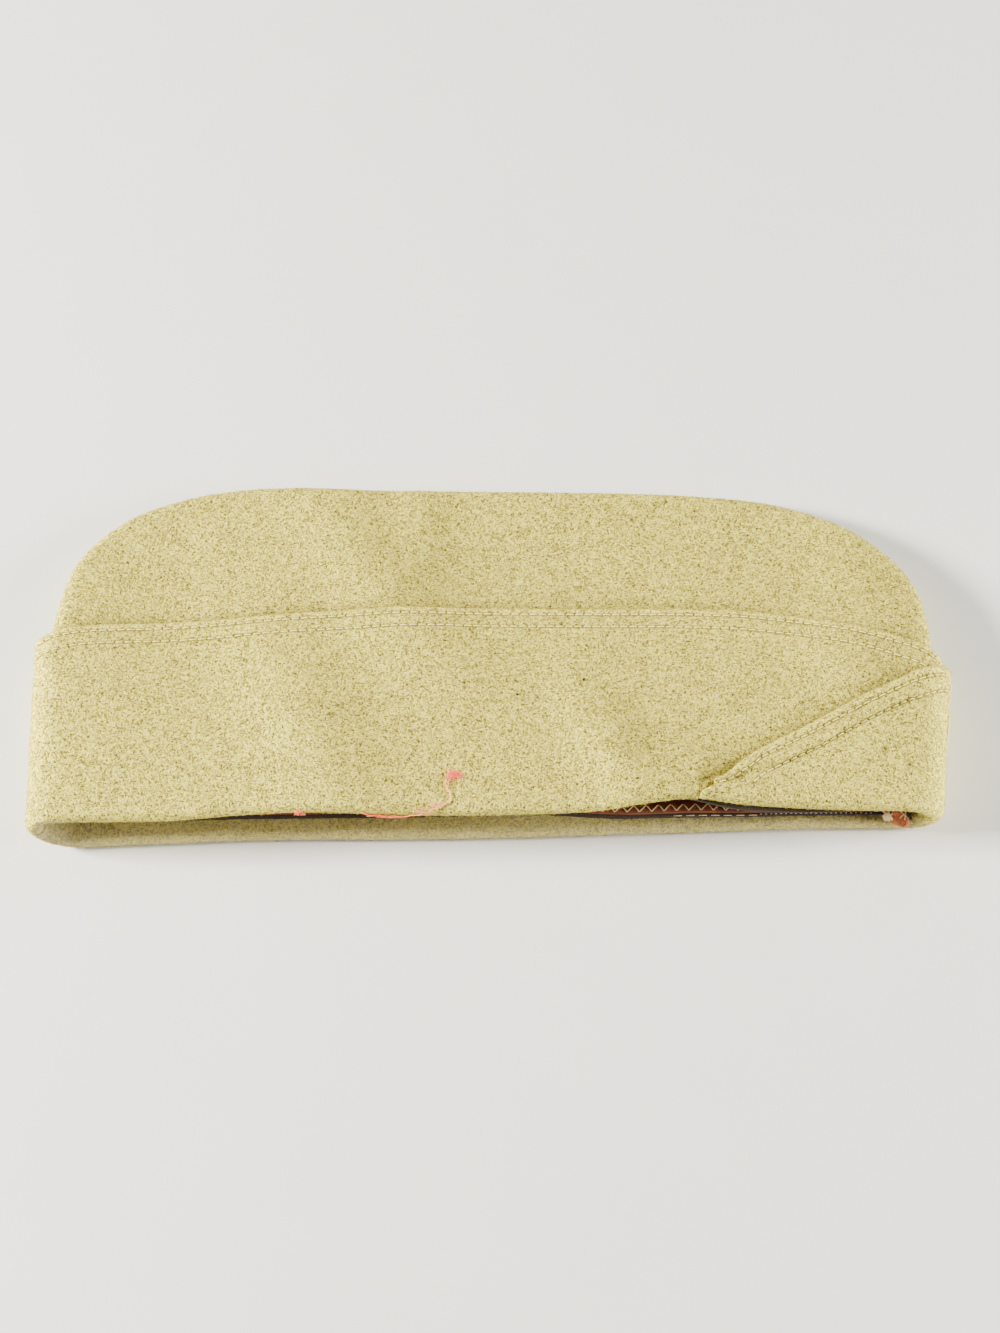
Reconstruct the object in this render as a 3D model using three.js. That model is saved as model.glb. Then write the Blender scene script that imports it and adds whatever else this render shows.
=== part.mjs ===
// Garrison cap of wool cloth, lying flat on its left side with its right side up.
// X runs from the back to the front, Y from the rim to the crown's ridge, Z is up.
import * as THREE from 'three';

// Driving dimensions, in millimetres
const CROWN_LENGTH = 283; // back seam to front seam
const CROWN_HEIGHT = 123.8; // rim to ridge
const CURTAIN_HEIGHT = 73.8; // rim to the highest point of the curtain's edge
const MOUTH_THICKNESS = 24; // through the flattened cap at the rim
const RIDGE_THICKNESS = 6.7; // through the crown at its ridge
const WOOL = 1.5; // one thickness of the cloth
const HEM_THICKNESS = 2.4; // the curtain's edge, turned in and pressed
const HEM_WIDTH = 9;
const TAPE = 1;
const TAPE_WIDTH = 14;
const TAPE_COVER = 3; // how far the tape reaches over the curtain's inner leg
const TAPE_SHOWS = 0.8; // strip of tape that shows below the leather
const LEATHER = 1;
const SWEATBAND_HEIGHT = 31; // leather band, lower edge to upper edge
const BAND_SAG = 2.4; // how far the upper side of the band hangs away under the raised rim
const BACK_STANDOFF = 2.2; // how far the curtain's edge leans away from the crown at the back
const BACK_SLUMP = 8; // how far the lower side of the back has slid towards the front
const FRONT_TAIL = 30; // degrees that the right curtain runs on under the lap
const TAB_WIDTH = 3.2; // raw end of leather at the front, along the flat of the lower side
const TAB_OUT = 0.8; // how far it sticks out of the rim
const TAB_IN = 9; // how far it reaches in over the band
const CLEARANCE = 0.4; // between neighbouring layers

// How finely the cloth is divided
const TURN_STEPS = 6; // quarter turn at the back or the front
const FLAT_STEPS = 24; // side between the two turns
const LAP_STEPS = 8; // the lap's run along the right side
const FOLD_STEPS = 4; // half turn of the rim fold
const LEG_STEPS = 4; // outer leg below the hem
const SEAM_STEPS = 38; // the crown's seam line
const FAN_STEPS = 8; // crown between its rounded edge and the rim

// Seam line of the crown, from the back of the rim over the ridge to the front of the rim.
// along: share of the crown's length from the back, up: share of its height above its foot
const SEAM_LINE = [
  { along: -0.002, up: 0 },
  { along: 0.004, up: 0.32 },
  { along: 0.018, up: 0.603 },
  { along: 0.039, up: 0.765 },
  { along: 0.09, up: 0.895 },
  { along: 0.151, up: 0.961 },
  { along: 0.226, up: 0.997 },
  { along: 0.403, up: 0.994 },
  { along: 0.631, up: 0.988 },
  { along: 0.745, up: 0.976 },
  { along: 0.836, up: 0.944 },
  { along: 0.904, up: 0.879 },
  { along: 0.954, up: 0.786 },
  { along: 0.986, up: 0.675 },
  { along: 0.999, up: 0.531 },
  { along: 1, up: 0.303 },
  { along: 0.991, up: 0 },
];

// How the flattened cap thins from the rim to the ridge.
// up: share of the crown's height, full: share of the way from ridge thickness to mouth thickness
const BELLY = [
  { up: 0, full: 1 },
  { up: 0.25, full: 0.84 },
  { up: 0.55, full: 0.5 },
  { up: 0.8, full: 0.19 },
  { up: 1, full: 0 },
];

// Waves of the mouth. along: share of the crown's length from the back, rise: share of the mouth's
// thickness, upper and lower: shares of the curtain's height that the two rims lie above zero
const MOUTH = [
  { along: 0, rise: 0.938, upper: -0.046, lower: -0.058 },
  { along: 0.078, rise: 0.959, upper: -0.05, lower: -0.041 },
  { along: 0.159, rise: 0.971, upper: -0.047, lower: -0.029 },
  { along: 0.226, rise: 1.017, upper: -0.029, lower: -0.019 },
  { along: 0.297, rise: 1.075, upper: -0.026, lower: -0.014 },
  { along: 0.399, rise: 1, upper: -0.025, lower: -0.013 },
  { along: 0.516, rise: 0.959, upper: -0.019, lower: -0.005 },
  { along: 0.618, rise: 0.984, upper: -0.006, lower: 0.007 },
  { along: 0.661, rise: 1.041, upper: 0.008, lower: 0.013 },
  { along: 0.723, rise: 1.092, upper: 0.039, lower: 0.018 },
  { along: 0.781, rise: 1.018, upper: 0.018, lower: 0.028 },
  { along: 0.866, rise: 0.946, upper: 0.003, lower: 0.041 },
  { along: 1, rise: 0.925, upper: -0.006, lower: 0.043 },
];

// Upper edge of the curtain from the back seam to the front seam, and a little past it.
// along: share of the crown's length, up: share of the curtain's height
const CURTAIN_EDGE = [
  { along: 0, up: 0.872 },
  { along: 0.05, up: 0.911 },
  { along: 0.12, up: 0.929 },
  { along: 0.2, up: 0.949 },
  { along: 0.3, up: 0.98 },
  { along: 0.42, up: 0.999 },
  { along: 0.6, up: 1 },
  { along: 0.76, up: 0.99 },
  { along: 0.84, up: 0.949 },
  { along: 0.9, up: 0.9 },
  { along: 0.95, up: 0.838 },
  { along: 0.985, up: 0.79 },
  { along: 1.02, up: 0.76 },
];

// Edge of the left curtain where it laps over the right side, from the front seam back to its tip
const LAP_EDGE = [
  { along: 0.985, up: 0.775 },
  { along: 1, up: 0.748 },
  { along: 1.036, up: 0.672 },
  { along: 1.092, up: 0.547 },
  { along: 1.148, up: 0.39 },
  { along: 1.203, up: 0.209 },
  { along: 1.248, up: 0.07 },
  { along: 1.266, up: 0.05 },
];

// Lower edge of the tape above the rim. along: share of the crown's length from the back,
// up: share of the curtain's height
const TAPE_EDGE = [
  { along: 0, up: 0.18 },
  { along: 0.05, up: 0.16 },
  { along: 0.16, up: 0.085 },
  { along: 0.55, up: 0.082 },
  { along: 0.67, up: 0.053 },
  { along: 1, up: 0.053 },
];

// Soft dents and swells of the upper side. along and up: middle, as shares of the crown's length
// and height, half and wide: reach along and across the fold as shares of the height,
// lean: degrees from upright, deep: share of the mouth's thickness
const DENTS = [
  { along: 0.29, up: 0.72, half: 0.42, wide: 0.14, lean: -24, deep: 0.05 },
  { along: 0.22, up: 0.26, half: 0.3, wide: 0.14, lean: -26, deep: 0.045 },
  { along: 0.57, up: 0.16, half: 0.24, wide: 0.13, lean: -20, deep: 0.045 },
  { along: 0.46, up: 0.7, half: 0.14, wide: 0.3, lean: 0, deep: -0.04 },
  { along: 0.15, up: 0.62, half: 0.2, wide: 0.14, lean: -20, deep: -0.035 },
  { along: 0.68, up: 0.28, half: 0.14, wide: 0.14, lean: -10, deep: -0.035 },
];

// Shares of the curtain's height
const DROP_START = 1.02; // where the lower side starts to bend down to the table
const DROP_END = 1.45; // where it lies on it
const RIM_FADE = 0.8; // where the rims' own rise has died out
const SAG_TOP = 0.45; // where the sagging band is back in its place
const SAG_FOOT = 0.1; // where it hangs lowest
const HEM_SHARE = 0.45; // most of the leg's height that the hem takes in the lap's tip
const TIP_START = 0.2; // lowest row of the outer leg in the lap's tip, as a share of its height

// Shares of the crown's height
const WAVE_FADE = 0.6; // where the waves of the mouth have died out
const END_STRAIGHT = 0.3; // where the crown's ends start to follow the seam line

// Shares of the crown's length
const SLUMP_REACH = 0.25; // how far the slump of the back reaches
const SAG_AT = 0.775; // middle of the band's sag
const SAG_REACH = 0.1;

// Shares of the quarter turn at the front
const CLIMB_START = 0.92; // where the left curtain starts to climb on to the right one
const CLIMB_END = 0.4;
const TAB_START = 0.62; // where the raw end of leather starts

// Shares of the hem's width
const HEM_EASE = 0.07; // step from one thickness of cloth to the hem
const COVERED_EASE = 0.7; // the same step under the lap, smoothed by the cloth that lies on it
const COVERED_SHIFT = 0.3; // how much lower that step starts

const { clamp, lerp, smoothstep, degToRad } = THREE.MathUtils;

// Value of a column at any place of the key column, on a smooth curve through the rows
function follow(table, key, column, at) {
  const last = table.length - 1;
  if (at <= table[0][key]) return table[0][column];
  if (at >= table[last][key]) return table[last][column];
  const i = table.findIndex((row) => row[key] > at) - 1;
  const slope = (k) => {
    const before = table[Math.max(k - 1, 0)];
    const after = table[Math.min(k + 1, last)];
    return (after[column] - before[column]) / (after[key] - before[key]);
  };
  const width = table[i + 1][key] - table[i][key];
  const t = (at - table[i][key]) / width;
  const rise = table[i + 1][column] - table[i][column];
  const start = slope(i) * width;
  const end = slope(i + 1) * width;
  return table[i][column] + start * t + (3 * rise - 2 * start - end) * t * t
    + (start + end - 2 * rise) * t * t * t;
}

// Offsets of the layers from the crown's outer face, outwards positive
const LEG_OUTSIDE = CLEARANCE; // inner face of the curtain's outer leg
const LEG_INSIDE = -WOOL - CLEARANCE; // outer face of its inner leg
const LAYER = CLEARANCE + WOOL;
const TAPE_ON_LEG = LEG_INSIDE - LAYER;
const TAPE_ON_CROWN = LEG_INSIDE - CLEARANCE;
const LEATHER_ON_TAPE = TAPE_ON_LEG - TAPE - CLEARANCE;
const LEATHER_ON_CROWN = TAPE_ON_CROWN - TAPE - CLEARANCE;
const CROWN_FOOT = 2 * LAYER - WOOL / 2 + CLEARANCE * 2;
const LAP_FOLD = (LEG_OUTSIDE + LAYER - LEG_INSIDE) / 2 + WOOL; // height of the lap's rim fold

// Share of the crown's length from the back at x, and the x of such a share
const shareOf = (x) => x / CROWN_LENGTH + 0.5;
const placeOf = (along) => CROWN_LENGTH * (along - 0.5);

// Seam line of the crown as a smooth curve
const seamCurve = new THREE.CatmullRomCurve3(SEAM_LINE.map((row) => new THREE.Vector3(
  placeOf(row.along),
  lerp(CROWN_FOOT, CROWN_HEIGHT, row.up),
  0,
)));
const seamPoints = seamCurve.getPoints(SEAM_STEPS * 4);
const frontPoints = [...seamPoints].reverse();

// Where the seam line passes a height at the back or the front
function endX(front, y) {
  const points = front ? frontPoints : seamPoints;
  const next = Math.max(points.findIndex((point) => point.y > y), 1);
  const [low, high] = [points[next - 1], points[next]];
  const share = clamp((y - low.y) / (high.y - low.y), 0, 1);
  return lerp(low.x, high.x, share);
}

// Height of the crown's lower face above the table: it lies on the curtain, then on the table
const farFace = (y) => (
  LAYER * (1 - smoothstep(y, CURTAIN_HEIGHT * DROP_START, CURTAIN_HEIGHT * DROP_END))
);

// Soft swell of all the dents at a place
function swell(x, y) {
  return DENTS.reduce((sum, dent) => {
    const dx = x - placeOf(dent.along);
    const dy = y - CROWN_HEIGHT * dent.up;
    const lean = degToRad(dent.lean);
    const run = (dy * Math.cos(lean) + dx * Math.sin(lean)) / (CROWN_HEIGHT * dent.half);
    const across = (dx * Math.cos(lean) - dy * Math.sin(lean)) / (CROWN_HEIGHT * dent.wide);
    return sum + MOUTH_THICKNESS * dent.deep * Math.exp(-run * run - across * across);
  }, 0);
}

// Height of the crown's upper face above the table, away from its seam
function nearFace(x, y) {
  const waves = follow(MOUTH, 'along', 'rise', shareOf(x)) - 1;
  const rise = 1 + waves * (1 - smoothstep(y, 0, CROWN_HEIGHT * WAVE_FADE));
  const full = follow(BELLY, 'up', 'full', y / CROWN_HEIGHT);
  return lerp(RIDGE_THICKNESS, MOUTH_THICKNESS * rise - LAYER, full) + swell(x, y);
}

// Radius of the turn from one side to the other at a height
function turnRadius(y) {
  const full = follow(BELLY, 'up', 'full', y / CROWN_HEIGHT);
  const thickness = lerp(RIDGE_THICKNESS, MOUTH_THICKNESS - LAYER, full) - farFace(y);
  return thickness / 2;
}

// Point at an offset from the crown's face. side: 1 above, -1 below; turn: 0 on the seam line and
// a quarter turn on the flats; out: direction away from the crown in its own plane; split: half
// the gap at the seam; level: offsets stay at their height
function skinPoint({ side, x, y, turn, out, offset, split = 0, level = true }) {
  const face = (px, py) => (side > 0 ? nearFace(px, py) : farFace(py));
  const middle = (nearFace(x, y) + farFace(y)) / 2;
  const rise = Math.abs(face(x, y) - middle);
  const radius = turnRadius(y);
  const flat = radius * Math.sin(turn) * side;
  const edge = rise * Math.cos(turn);
  const normal = new THREE.Vector3(
    out.x * edge - flat * (face(x + 1, y) - face(x - 1, y)) / 2,
    level ? 0 : out.y * edge - flat * (face(x, y + 1) - face(x, y - 1)) / 2,
    flat,
  ).normalize();
  const z = middle + side * lerp(split, rise, Math.sin(turn));
  return new THREE.Vector3(x, y, z).addScaledVector(normal, offset);
}

// The girth is counted in stations: 0 is the back seam, HALF the front seam by the upper side,
// and 2 * HALF the back seam again by the lower side
const HALF = 2 * TURN_STEPS + FLAT_STEPS;

function station(count, y) {
  const around = (count + 4 * HALF) % (2 * HALF);
  const side = around <= HALF ? 1 : -1;
  const fromBack = side > 0 ? around : 2 * HALF - around;
  const front = fromBack > HALF / 2;
  const fromEnd = front ? HALF - fromBack : fromBack;
  const radius = turnRadius(y);
  const back = endX(false, y) + radius;
  const ahead = endX(true, y) - radius;
  const turn = Math.min(fromEnd / TURN_STEPS, 1) * Math.PI / 2;
  const out = new THREE.Vector2(front ? 1 : -1, 0);
  const x = turn < Math.PI / 2
    ? (front ? ahead : back) + out.x * radius * Math.cos(turn)
    : lerp(back, ahead, (fromBack - TURN_STEPS) / FLAT_STEPS);
  return { side, x, y, turn, out };
}

const girthPoint = (count, y, offset) => skinPoint({ ...station(count, y), offset });

// Station of the upper side at a share of the crown's length
function stationAt(along) {
  const radius = turnRadius(0);
  const back = endX(false, 0) + radius;
  const ahead = endX(true, 0) - radius;
  return TURN_STEPS + FLAT_STEPS * (placeOf(along) - back) / (ahead - back);
}

// Share of the crown's length that a station has, counted on past the front for the lap
function alongOf(count, lap) {
  const { x } = station(count, 0);
  const along = clamp(shareOf(x), 0, 1);
  return lap && count < HALF ? 2 - along : along;
}

const tapeFoot = (count) => CURTAIN_HEIGHT * follow(TAPE_EDGE, 'along', 'up', alongOf(count, false));

// Everything lies as the photograph shows it: the rims wave, and the lower side has slid forward
function lie(point) {
  const { x, y, z } = point;
  const top = MOUTH_THICKNESS * follow(MOUTH, 'along', 'rise', shareOf(x));
  const height = clamp(z / top, 0, 1);
  const upper = follow(MOUTH, 'along', 'upper', shareOf(x));
  const lower = follow(MOUTH, 'along', 'lower', shareOf(x));
  const nearRim = 1 - smoothstep(y, 0, CURTAIN_HEIGHT * RIM_FADE);
  const nearBack = 1 - smoothstep(x, placeOf(0), placeOf(SLUMP_REACH));
  point.x += BACK_SLUMP * (1 - height) ** 2 * nearRim * nearBack;
  point.y += CURTAIN_HEIGHT * lerp(lower, upper, height) * nearRim;
  return point;
}

// Closed body between two faces of a sheet. The sheet is a grid of columns and rows; faces(i, j)
// gives its outer and inner point, keep(i, j) says which cells are cloth, and ring joins the ends
function sheetBody(columns, rows, faces, { keep = () => true, ring = false } = {}) {
  const points = [];
  const known = new Map();
  const index = (i, j) => {
    const [outer, inner] = faces(ring ? i % columns : i, j);
    const name = [outer, inner].flatMap((p) => p.toArray().map((v) => v.toFixed(4))).join();
    if (!known.has(name)) {
      known.set(name, points.length);
      points.push([outer, inner]);
    }
    return known.get(name);
  };
  const triangles = [];
  for (let i = 0; i < (ring ? columns : columns - 1); i += 1) {
    for (let j = 0; j < rows - 1; j += 1) {
      if (keep(i, j)) {
        const [a, b, c, d] = [index(i, j), index(i + 1, j), index(i + 1, j + 1), index(i, j + 1)];
        triangles.push([a, b, c], [a, c, d]);
      }
    }
  }
  const cloth = triangles.filter(([a, b, c]) => a !== b && b !== c && c !== a);
  const edges = new Set(cloth.flatMap(([a, b, c]) => [`${a},${b}`, `${b},${c}`, `${c},${a}`]));
  const count = points.length;
  const faces3 = cloth.flatMap(([a, b, c]) => [[a, b, c], [a + count, c + count, b + count]]);
  edges.forEach((edge) => {
    const [a, b] = edge.split(',').map(Number);
    if (!edges.has(`${b},${a}`)) {
      faces3.push([b, a, a + count], [b, a + count, b + count]);
    }
  });
  const corners = [...points.map(([outer]) => outer), ...points.map(([, inner]) => inner)];
  const volume = faces3.reduce((sum, [a, b, c]) => (
    sum + corners[a].dot(corners[b].clone().cross(corners[c]))
  ), 0);
  const outward = volume > 0 ? faces3 : faces3.map(([a, b, c]) => [a, c, b]);
  const geometry = new THREE.BufferGeometry();
  geometry.setAttribute('position', new THREE.Float32BufferAttribute(
    corners.flatMap((corner) => corner.toArray()),
    3,
  ));
  geometry.setIndex(outward.flat());
  geometry.computeVertexNormals();
  return geometry;
}

// Half of the crown: rings along the seam line where the cloth turns, then a fan down to the rim
function crownHalf(side) {
  const rings = TURN_STEPS + 1;
  const radius = turnRadius(CROWN_FOOT);
  const back = endX(false, CROWN_FOOT) + radius;
  const ahead = endX(true, CROWN_FOOT) - radius;
  const ringPoint = (i, j, offset) => {
    const share = i / SEAM_STEPS;
    const point = seamCurve.getPoint(share);
    const tangent = seamCurve.getTangent(share);
    const straight = new THREE.Vector2(share < 0.5 ? -1 : 1, 0);
    const leaving = smoothstep(point.y, CROWN_FOOT, CROWN_HEIGHT * END_STRAIGHT);
    const out = straight.lerp(new THREE.Vector2(-tangent.y, tangent.x), leaving).normalize();
    const turn = (j / TURN_STEPS) * Math.PI / 2;
    const depth = turnRadius(point.y) * (1 - Math.cos(turn));
    const split = CLEARANCE / 2;
    return skinPoint({
      side, x: point.x - out.x * depth, y: point.y - out.y * depth, turn, out, offset, split, level: false,
    });
  };
  const point = (i, j, offset) => {
    if (j < rings) return ringPoint(i, j, offset);
    const ring = ringPoint(i, TURN_STEPS, 0);
    const foot = lerp(back, ahead, i / SEAM_STEPS);
    const share = (j - TURN_STEPS) / FAN_STEPS;
    return skinPoint({
      side,
      x: lerp(ring.x, foot, share),
      y: lerp(ring.y, CROWN_FOOT, share),
      turn: Math.PI / 2,
      out: new THREE.Vector2(0, 1),
      offset,
      level: false,
    });
  };
  const faces = (i, j) => [lie(point(i, j, 0)), lie(point(i, j, -WOOL))];
  return sheetBody(SEAM_STEPS + 1, rings + FAN_STEPS, faces);
}

// Width of the hem where the curtain is at least twice as high, and less in the lap's tip
const hemWidth = (top, fold) => Math.min(HEM_WIDTH, (top - fold) * HEM_SHARE);

// Inner and outer offset of the curtain's outer leg lying on the crown. The cloth is doubled in
// the hem, which is pressed flat on the lower side; ease starts it lower by a share of its width
function outerLeg(count, y, top, fold, ease = HEM_EASE) {
  const hem = hemWidth(top, fold);
  const { side, turn, out } = station(count, y);
  const above = (1 + side * Math.sin(turn)) / 2;
  const doubled = smoothstep(y, top - hem * (1 + ease), top - hem) * above;
  const lean = out.x < 0 ? BACK_STANDOFF * (Math.cos(turn) * y / CURTAIN_HEIGHT) ** 2 : 0;
  return [LEG_OUTSIDE + lean, LEG_OUTSIDE + lean + lerp(WOOL, HEM_THICKNESS, doubled)];
}

const rightTop = (count) => CURTAIN_HEIGHT * follow(CURTAIN_EDGE, 'along', 'up', alongOf(count, false));

// The lap's tip ends level with its rim fold
function leftTop(count) {
  const along = alongOf(count, true);
  const table = along > LAP_EDGE[0].along ? LAP_EDGE : CURTAIN_EDGE;
  return Math.max(CURTAIN_HEIGHT * follow(table, 'along', 'up', along), LAP_FOLD + WOOL / 2);
}

// How far the left curtain has climbed on to the right one, from the lower side to the front seam
const climb = (count) => (
  1 - smoothstep(count, HALF + TURN_STEPS * CLIMB_END, HALF + TURN_STEPS * CLIMB_START)
);

// Offsets of the left curtain's outer leg, which passes over the right curtain at the front
function lappedLeg(count, y, top, fold) {
  const [inside, outside] = outerLeg(count, y, top, fold);
  const under = outerLeg(count, y + HEM_WIDTH * COVERED_SHIFT, rightTop(count), fold, COVERED_EASE);
  const lift = climb(count) * (under[1] + CLEARANCE - inside);
  return [inside + lift, outside + lift];
}

// Rows of a curtain's section at one station: up the outside, from the inner leg round the rim fold
// to the upper edge. Each row has the height and the offset of its two faces
function curtainRows(count, topOf, legOf, strip) {
  const top = topOf(count);
  const spread = legOf(count, 0, CURTAIN_HEIGHT, 0)[0] - LEG_INSIDE;
  const radius = spread / 2;
  const middle = LEG_INSIDE + radius;
  const fold = radius + WOOL;
  const legTop = tapeFoot(count) + TAPE_COVER;
  const rows = [1, 0.5].map((share) => {
    const y = lerp(fold, legTop, share);
    return { outer: [y, LEG_INSIDE - WOOL], inner: [y, LEG_INSIDE] };
  });
  for (let k = 0; k <= FOLD_STEPS; k += 1) {
    const angle = (k / FOLD_STEPS) * Math.PI;
    const at = (reach) => [fold - reach * Math.sin(angle), middle - reach * Math.cos(angle)];
    rows.push({ outer: at(radius + WOOL), inner: at(radius) });
  }
  const hem = hemWidth(top, fold);
  const start = Math.min(strip, lerp(fold, top, TIP_START));
  const heights = [];
  for (let k = 0; k <= LEG_STEPS; k += 1) {
    heights.push(lerp(start, top - hem * (1 + HEM_EASE), k / LEG_STEPS));
  }
  heights.push(top - hem, top);
  heights.forEach((y) => {
    const [inside, outside] = legOf(count, y, top, fold);
    rows.push({ outer: [y, outside], inner: [y, inside] });
  });
  return rows;
}

// First row of the outer leg above the rim fold, and the height where it starts under the lap
const STRIP_ROW = 2 + FOLD_STEPS + 1;
const STRIP_FOOT = CROWN_FOOT + LAYER - WOOL / 2;

const lapTip = LAP_EDGE[LAP_EDGE.length - 1].along;
const tipStation = stationAt(2 - lapTip);
const seamShare = CLEARANCE / (MOUTH_THICKNESS / 2) * (TURN_STEPS / (Math.PI / 2));
const tipShare = CLEARANCE / CROWN_LENGTH * FLAT_STEPS;

// Stations from one count to another in equal steps, without the last
const span = (from, to, steps) => Array.from({ length: steps }, (_, k) => lerp(from, to, k / steps));

function curtain(stations, topOf, legOf, keep) {
  const sections = stations.map((count) => curtainRows(count, topOf, legOf, STRIP_FOOT));
  const faces = (i, j) => [sections[i][j].outer, sections[i][j].inner]
    .map(([y, offset]) => lie(girthPoint(stations[i], y, offset)));
  return sheetBody(stations.length, sections[0].length, faces, { keep });
}

function rightCurtain() {
  const cut = tipStation - tipShare;
  const tail = HALF + TURN_STEPS * FRONT_TAIL / 90;
  const stations = [
    seamShare,
    ...span(1, TURN_STEPS, TURN_STEPS - 1),
    ...span(TURN_STEPS, cut, Math.round(cut) - TURN_STEPS),
    ...span(cut, HALF - TURN_STEPS, LAP_STEPS - 3),
    ...span(HALF - TURN_STEPS, HALF, TURN_STEPS),
    ...span(HALF, tail, 2),
    tail,
  ];
  const cutColumn = stations.indexOf(cut);
  return curtain(stations, rightTop, outerLeg, (i, j) => i < cutColumn || j >= STRIP_ROW);
}

function leftCurtain() {
  const stations = [
    2 * HALF - seamShare,
    ...span(2 * HALF - 1, 2 * HALF - TURN_STEPS, TURN_STEPS - 1),
    ...span(2 * HALF - TURN_STEPS, HALF - TURN_STEPS, FLAT_STEPS + 2 * TURN_STEPS),
    ...span(HALF - TURN_STEPS, tipStation, LAP_STEPS),
    tipStation,
  ];
  return curtain(stations, leftTop, lappedLeg);
}

// The upper side of the band hangs away from the rim where the mouth stands open
function bandSag(count, y) {
  const { side, turn, x } = station(count, y);
  if (side < 0) return 0;
  const reach = (shareOf(x) - SAG_AT) / SAG_REACH;
  const low = 1 - smoothstep(y, CURTAIN_HEIGHT * SAG_FOOT, CURTAIN_HEIGHT * SAG_TOP);
  return -BAND_SAG * Math.exp(-reach * reach) * low * Math.sin(turn);
}

// A closed ring inside the cap: rows of height and outer offset at each station
function band(thickness, rowsOf) {
  const sections = Array.from({ length: 2 * HALF }, (_, count) => rowsOf(count));
  const faces = (i, j) => {
    const [y, offset] = sections[i][j];
    const sagged = offset + bandSag(i, y);
    return [lie(girthPoint(i, y, sagged)), lie(girthPoint(i, y, sagged - thickness))];
  };
  return sheetBody(2 * HALF, sections[0].length, faces, { ring: true });
}

function tapeRows(count) {
  const foot = tapeFoot(count);
  const legTop = foot + TAPE_COVER;
  return [
    [foot, TAPE_ON_LEG],
    [legTop + CLEARANCE, TAPE_ON_LEG],
    [legTop + 2 * LAYER, TAPE_ON_CROWN],
    [foot + TAPE_WIDTH, TAPE_ON_CROWN],
  ];
}

function sweatbandRows(count) {
  const foot = tapeFoot(count);
  const legTop = foot + TAPE_COVER;
  return [
    [foot + TAPE_SHOWS, LEATHER_ON_TAPE],
    [legTop + CLEARANCE, LEATHER_ON_TAPE],
    [legTop + 2 * LAYER, LEATHER_ON_CROWN],
    [foot + TAPE_WIDTH + LAYER, LEATHER_ON_CROWN],
    [foot + TAPE_SHOWS + SWEATBAND_HEIGHT, LEATHER_ON_CROWN],
  ];
}

// Raw end of the leather, lying on the band of the lower side and coming out at the rim
function sweatbandEnd() {
  const foot = tapeFoot(HALF + TURN_STEPS);
  const onBand = LEATHER_ON_TAPE - LEATHER - CLEARANCE;
  const onFold = LEG_INSIDE - LAYER;
  const rows = [
    [TAB_IN, onBand],
    [foot + TAPE_SHOWS, onBand],
    [foot, onBand],
    [foot / 2, (onBand + onFold) / 2],
    [-TAB_OUT, onFold],
  ];
  const flat = TAB_WIDTH * FLAT_STEPS / CROWN_LENGTH;
  const start = TURN_STEPS * TAB_START;
  const stations = [start, (start + TURN_STEPS) / 2, TURN_STEPS, TURN_STEPS + flat];
  const faces = (i, j) => [0, LEATHER].map((depth) => (
    lie(girthPoint(HALF + stations[i], rows[j][0], rows[j][1] - depth))
  ));
  return sheetBody(stations.length, rows.length, faces);
}

// Finishes
const wool = new THREE.MeshStandardMaterial({ color: 0xb9ad86, roughness: 0.95, metalness: 0 });
const woolLeft = new THREE.MeshStandardMaterial({ color: 0xb3a780, roughness: 0.95, metalness: 0 });
const tapeCloth = new THREE.MeshStandardMaterial({ color: 0x6d6252, roughness: 0.9, metalness: 0 });
const leather = new THREE.MeshStandardMaterial({ color: 0x6b3f2c, roughness: 0.55, metalness: 0 });
const rawLeather = new THREE.MeshStandardMaterial({ color: 0xc08a52, roughness: 0.8, metalness: 0 });

const cap = new THREE.Group();

function addPiece(name, geometry, material) {
  const piece = new THREE.Mesh(geometry, material);
  piece.name = name;
  cap.add(piece);
}

addPiece('crown_right', crownHalf(1), wool);
addPiece('crown_left', crownHalf(-1), woolLeft);
addPiece('curtain_right', rightCurtain(), wool);
addPiece('curtain_left', leftCurtain(), woolLeft);
addPiece('sweatband_tape', band(TAPE, tapeRows), tapeCloth);
addPiece('sweatband', band(LEATHER, sweatbandRows), leather);
addPiece('sweatband_end', sweatbandEnd(), rawLeather);

// The origin is the middle of the box that the cap fills, on the table
const box = new THREE.Box3().setFromObject(cap);
const middle = box.getCenter(new THREE.Vector3());
cap.position.set(-middle.x, -middle.y, -box.min.z);
cap.updateMatrixWorld(true);

export default cap;
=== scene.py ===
"""Garrison cap of wool cloth, lying flat on its left side: its cloth, leather, stitches and stage."""
import math

import bpy
import numpy as np
from bpy.props import FloatProperty, FloatVectorProperty, IntProperty, PointerProperty
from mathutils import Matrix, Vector


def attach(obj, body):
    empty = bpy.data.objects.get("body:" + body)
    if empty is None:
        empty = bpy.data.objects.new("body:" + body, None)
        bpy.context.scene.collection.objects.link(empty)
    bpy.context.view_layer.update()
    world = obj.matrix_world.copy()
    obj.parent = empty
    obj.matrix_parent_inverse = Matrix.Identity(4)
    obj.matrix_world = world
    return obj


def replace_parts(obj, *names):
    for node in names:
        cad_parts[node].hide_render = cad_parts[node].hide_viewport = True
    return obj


bl_info = {
    "name": "Garrison cap",
    "version": (1, 0, 0),
    "blender": (4, 5, 0),
    "location": "3D View > Sidebar > Garrison cap",
    "description": "Cloth, leather, stitches and loose threads of a garrison cap, and its stage",
    "category": "Object",
}

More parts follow.
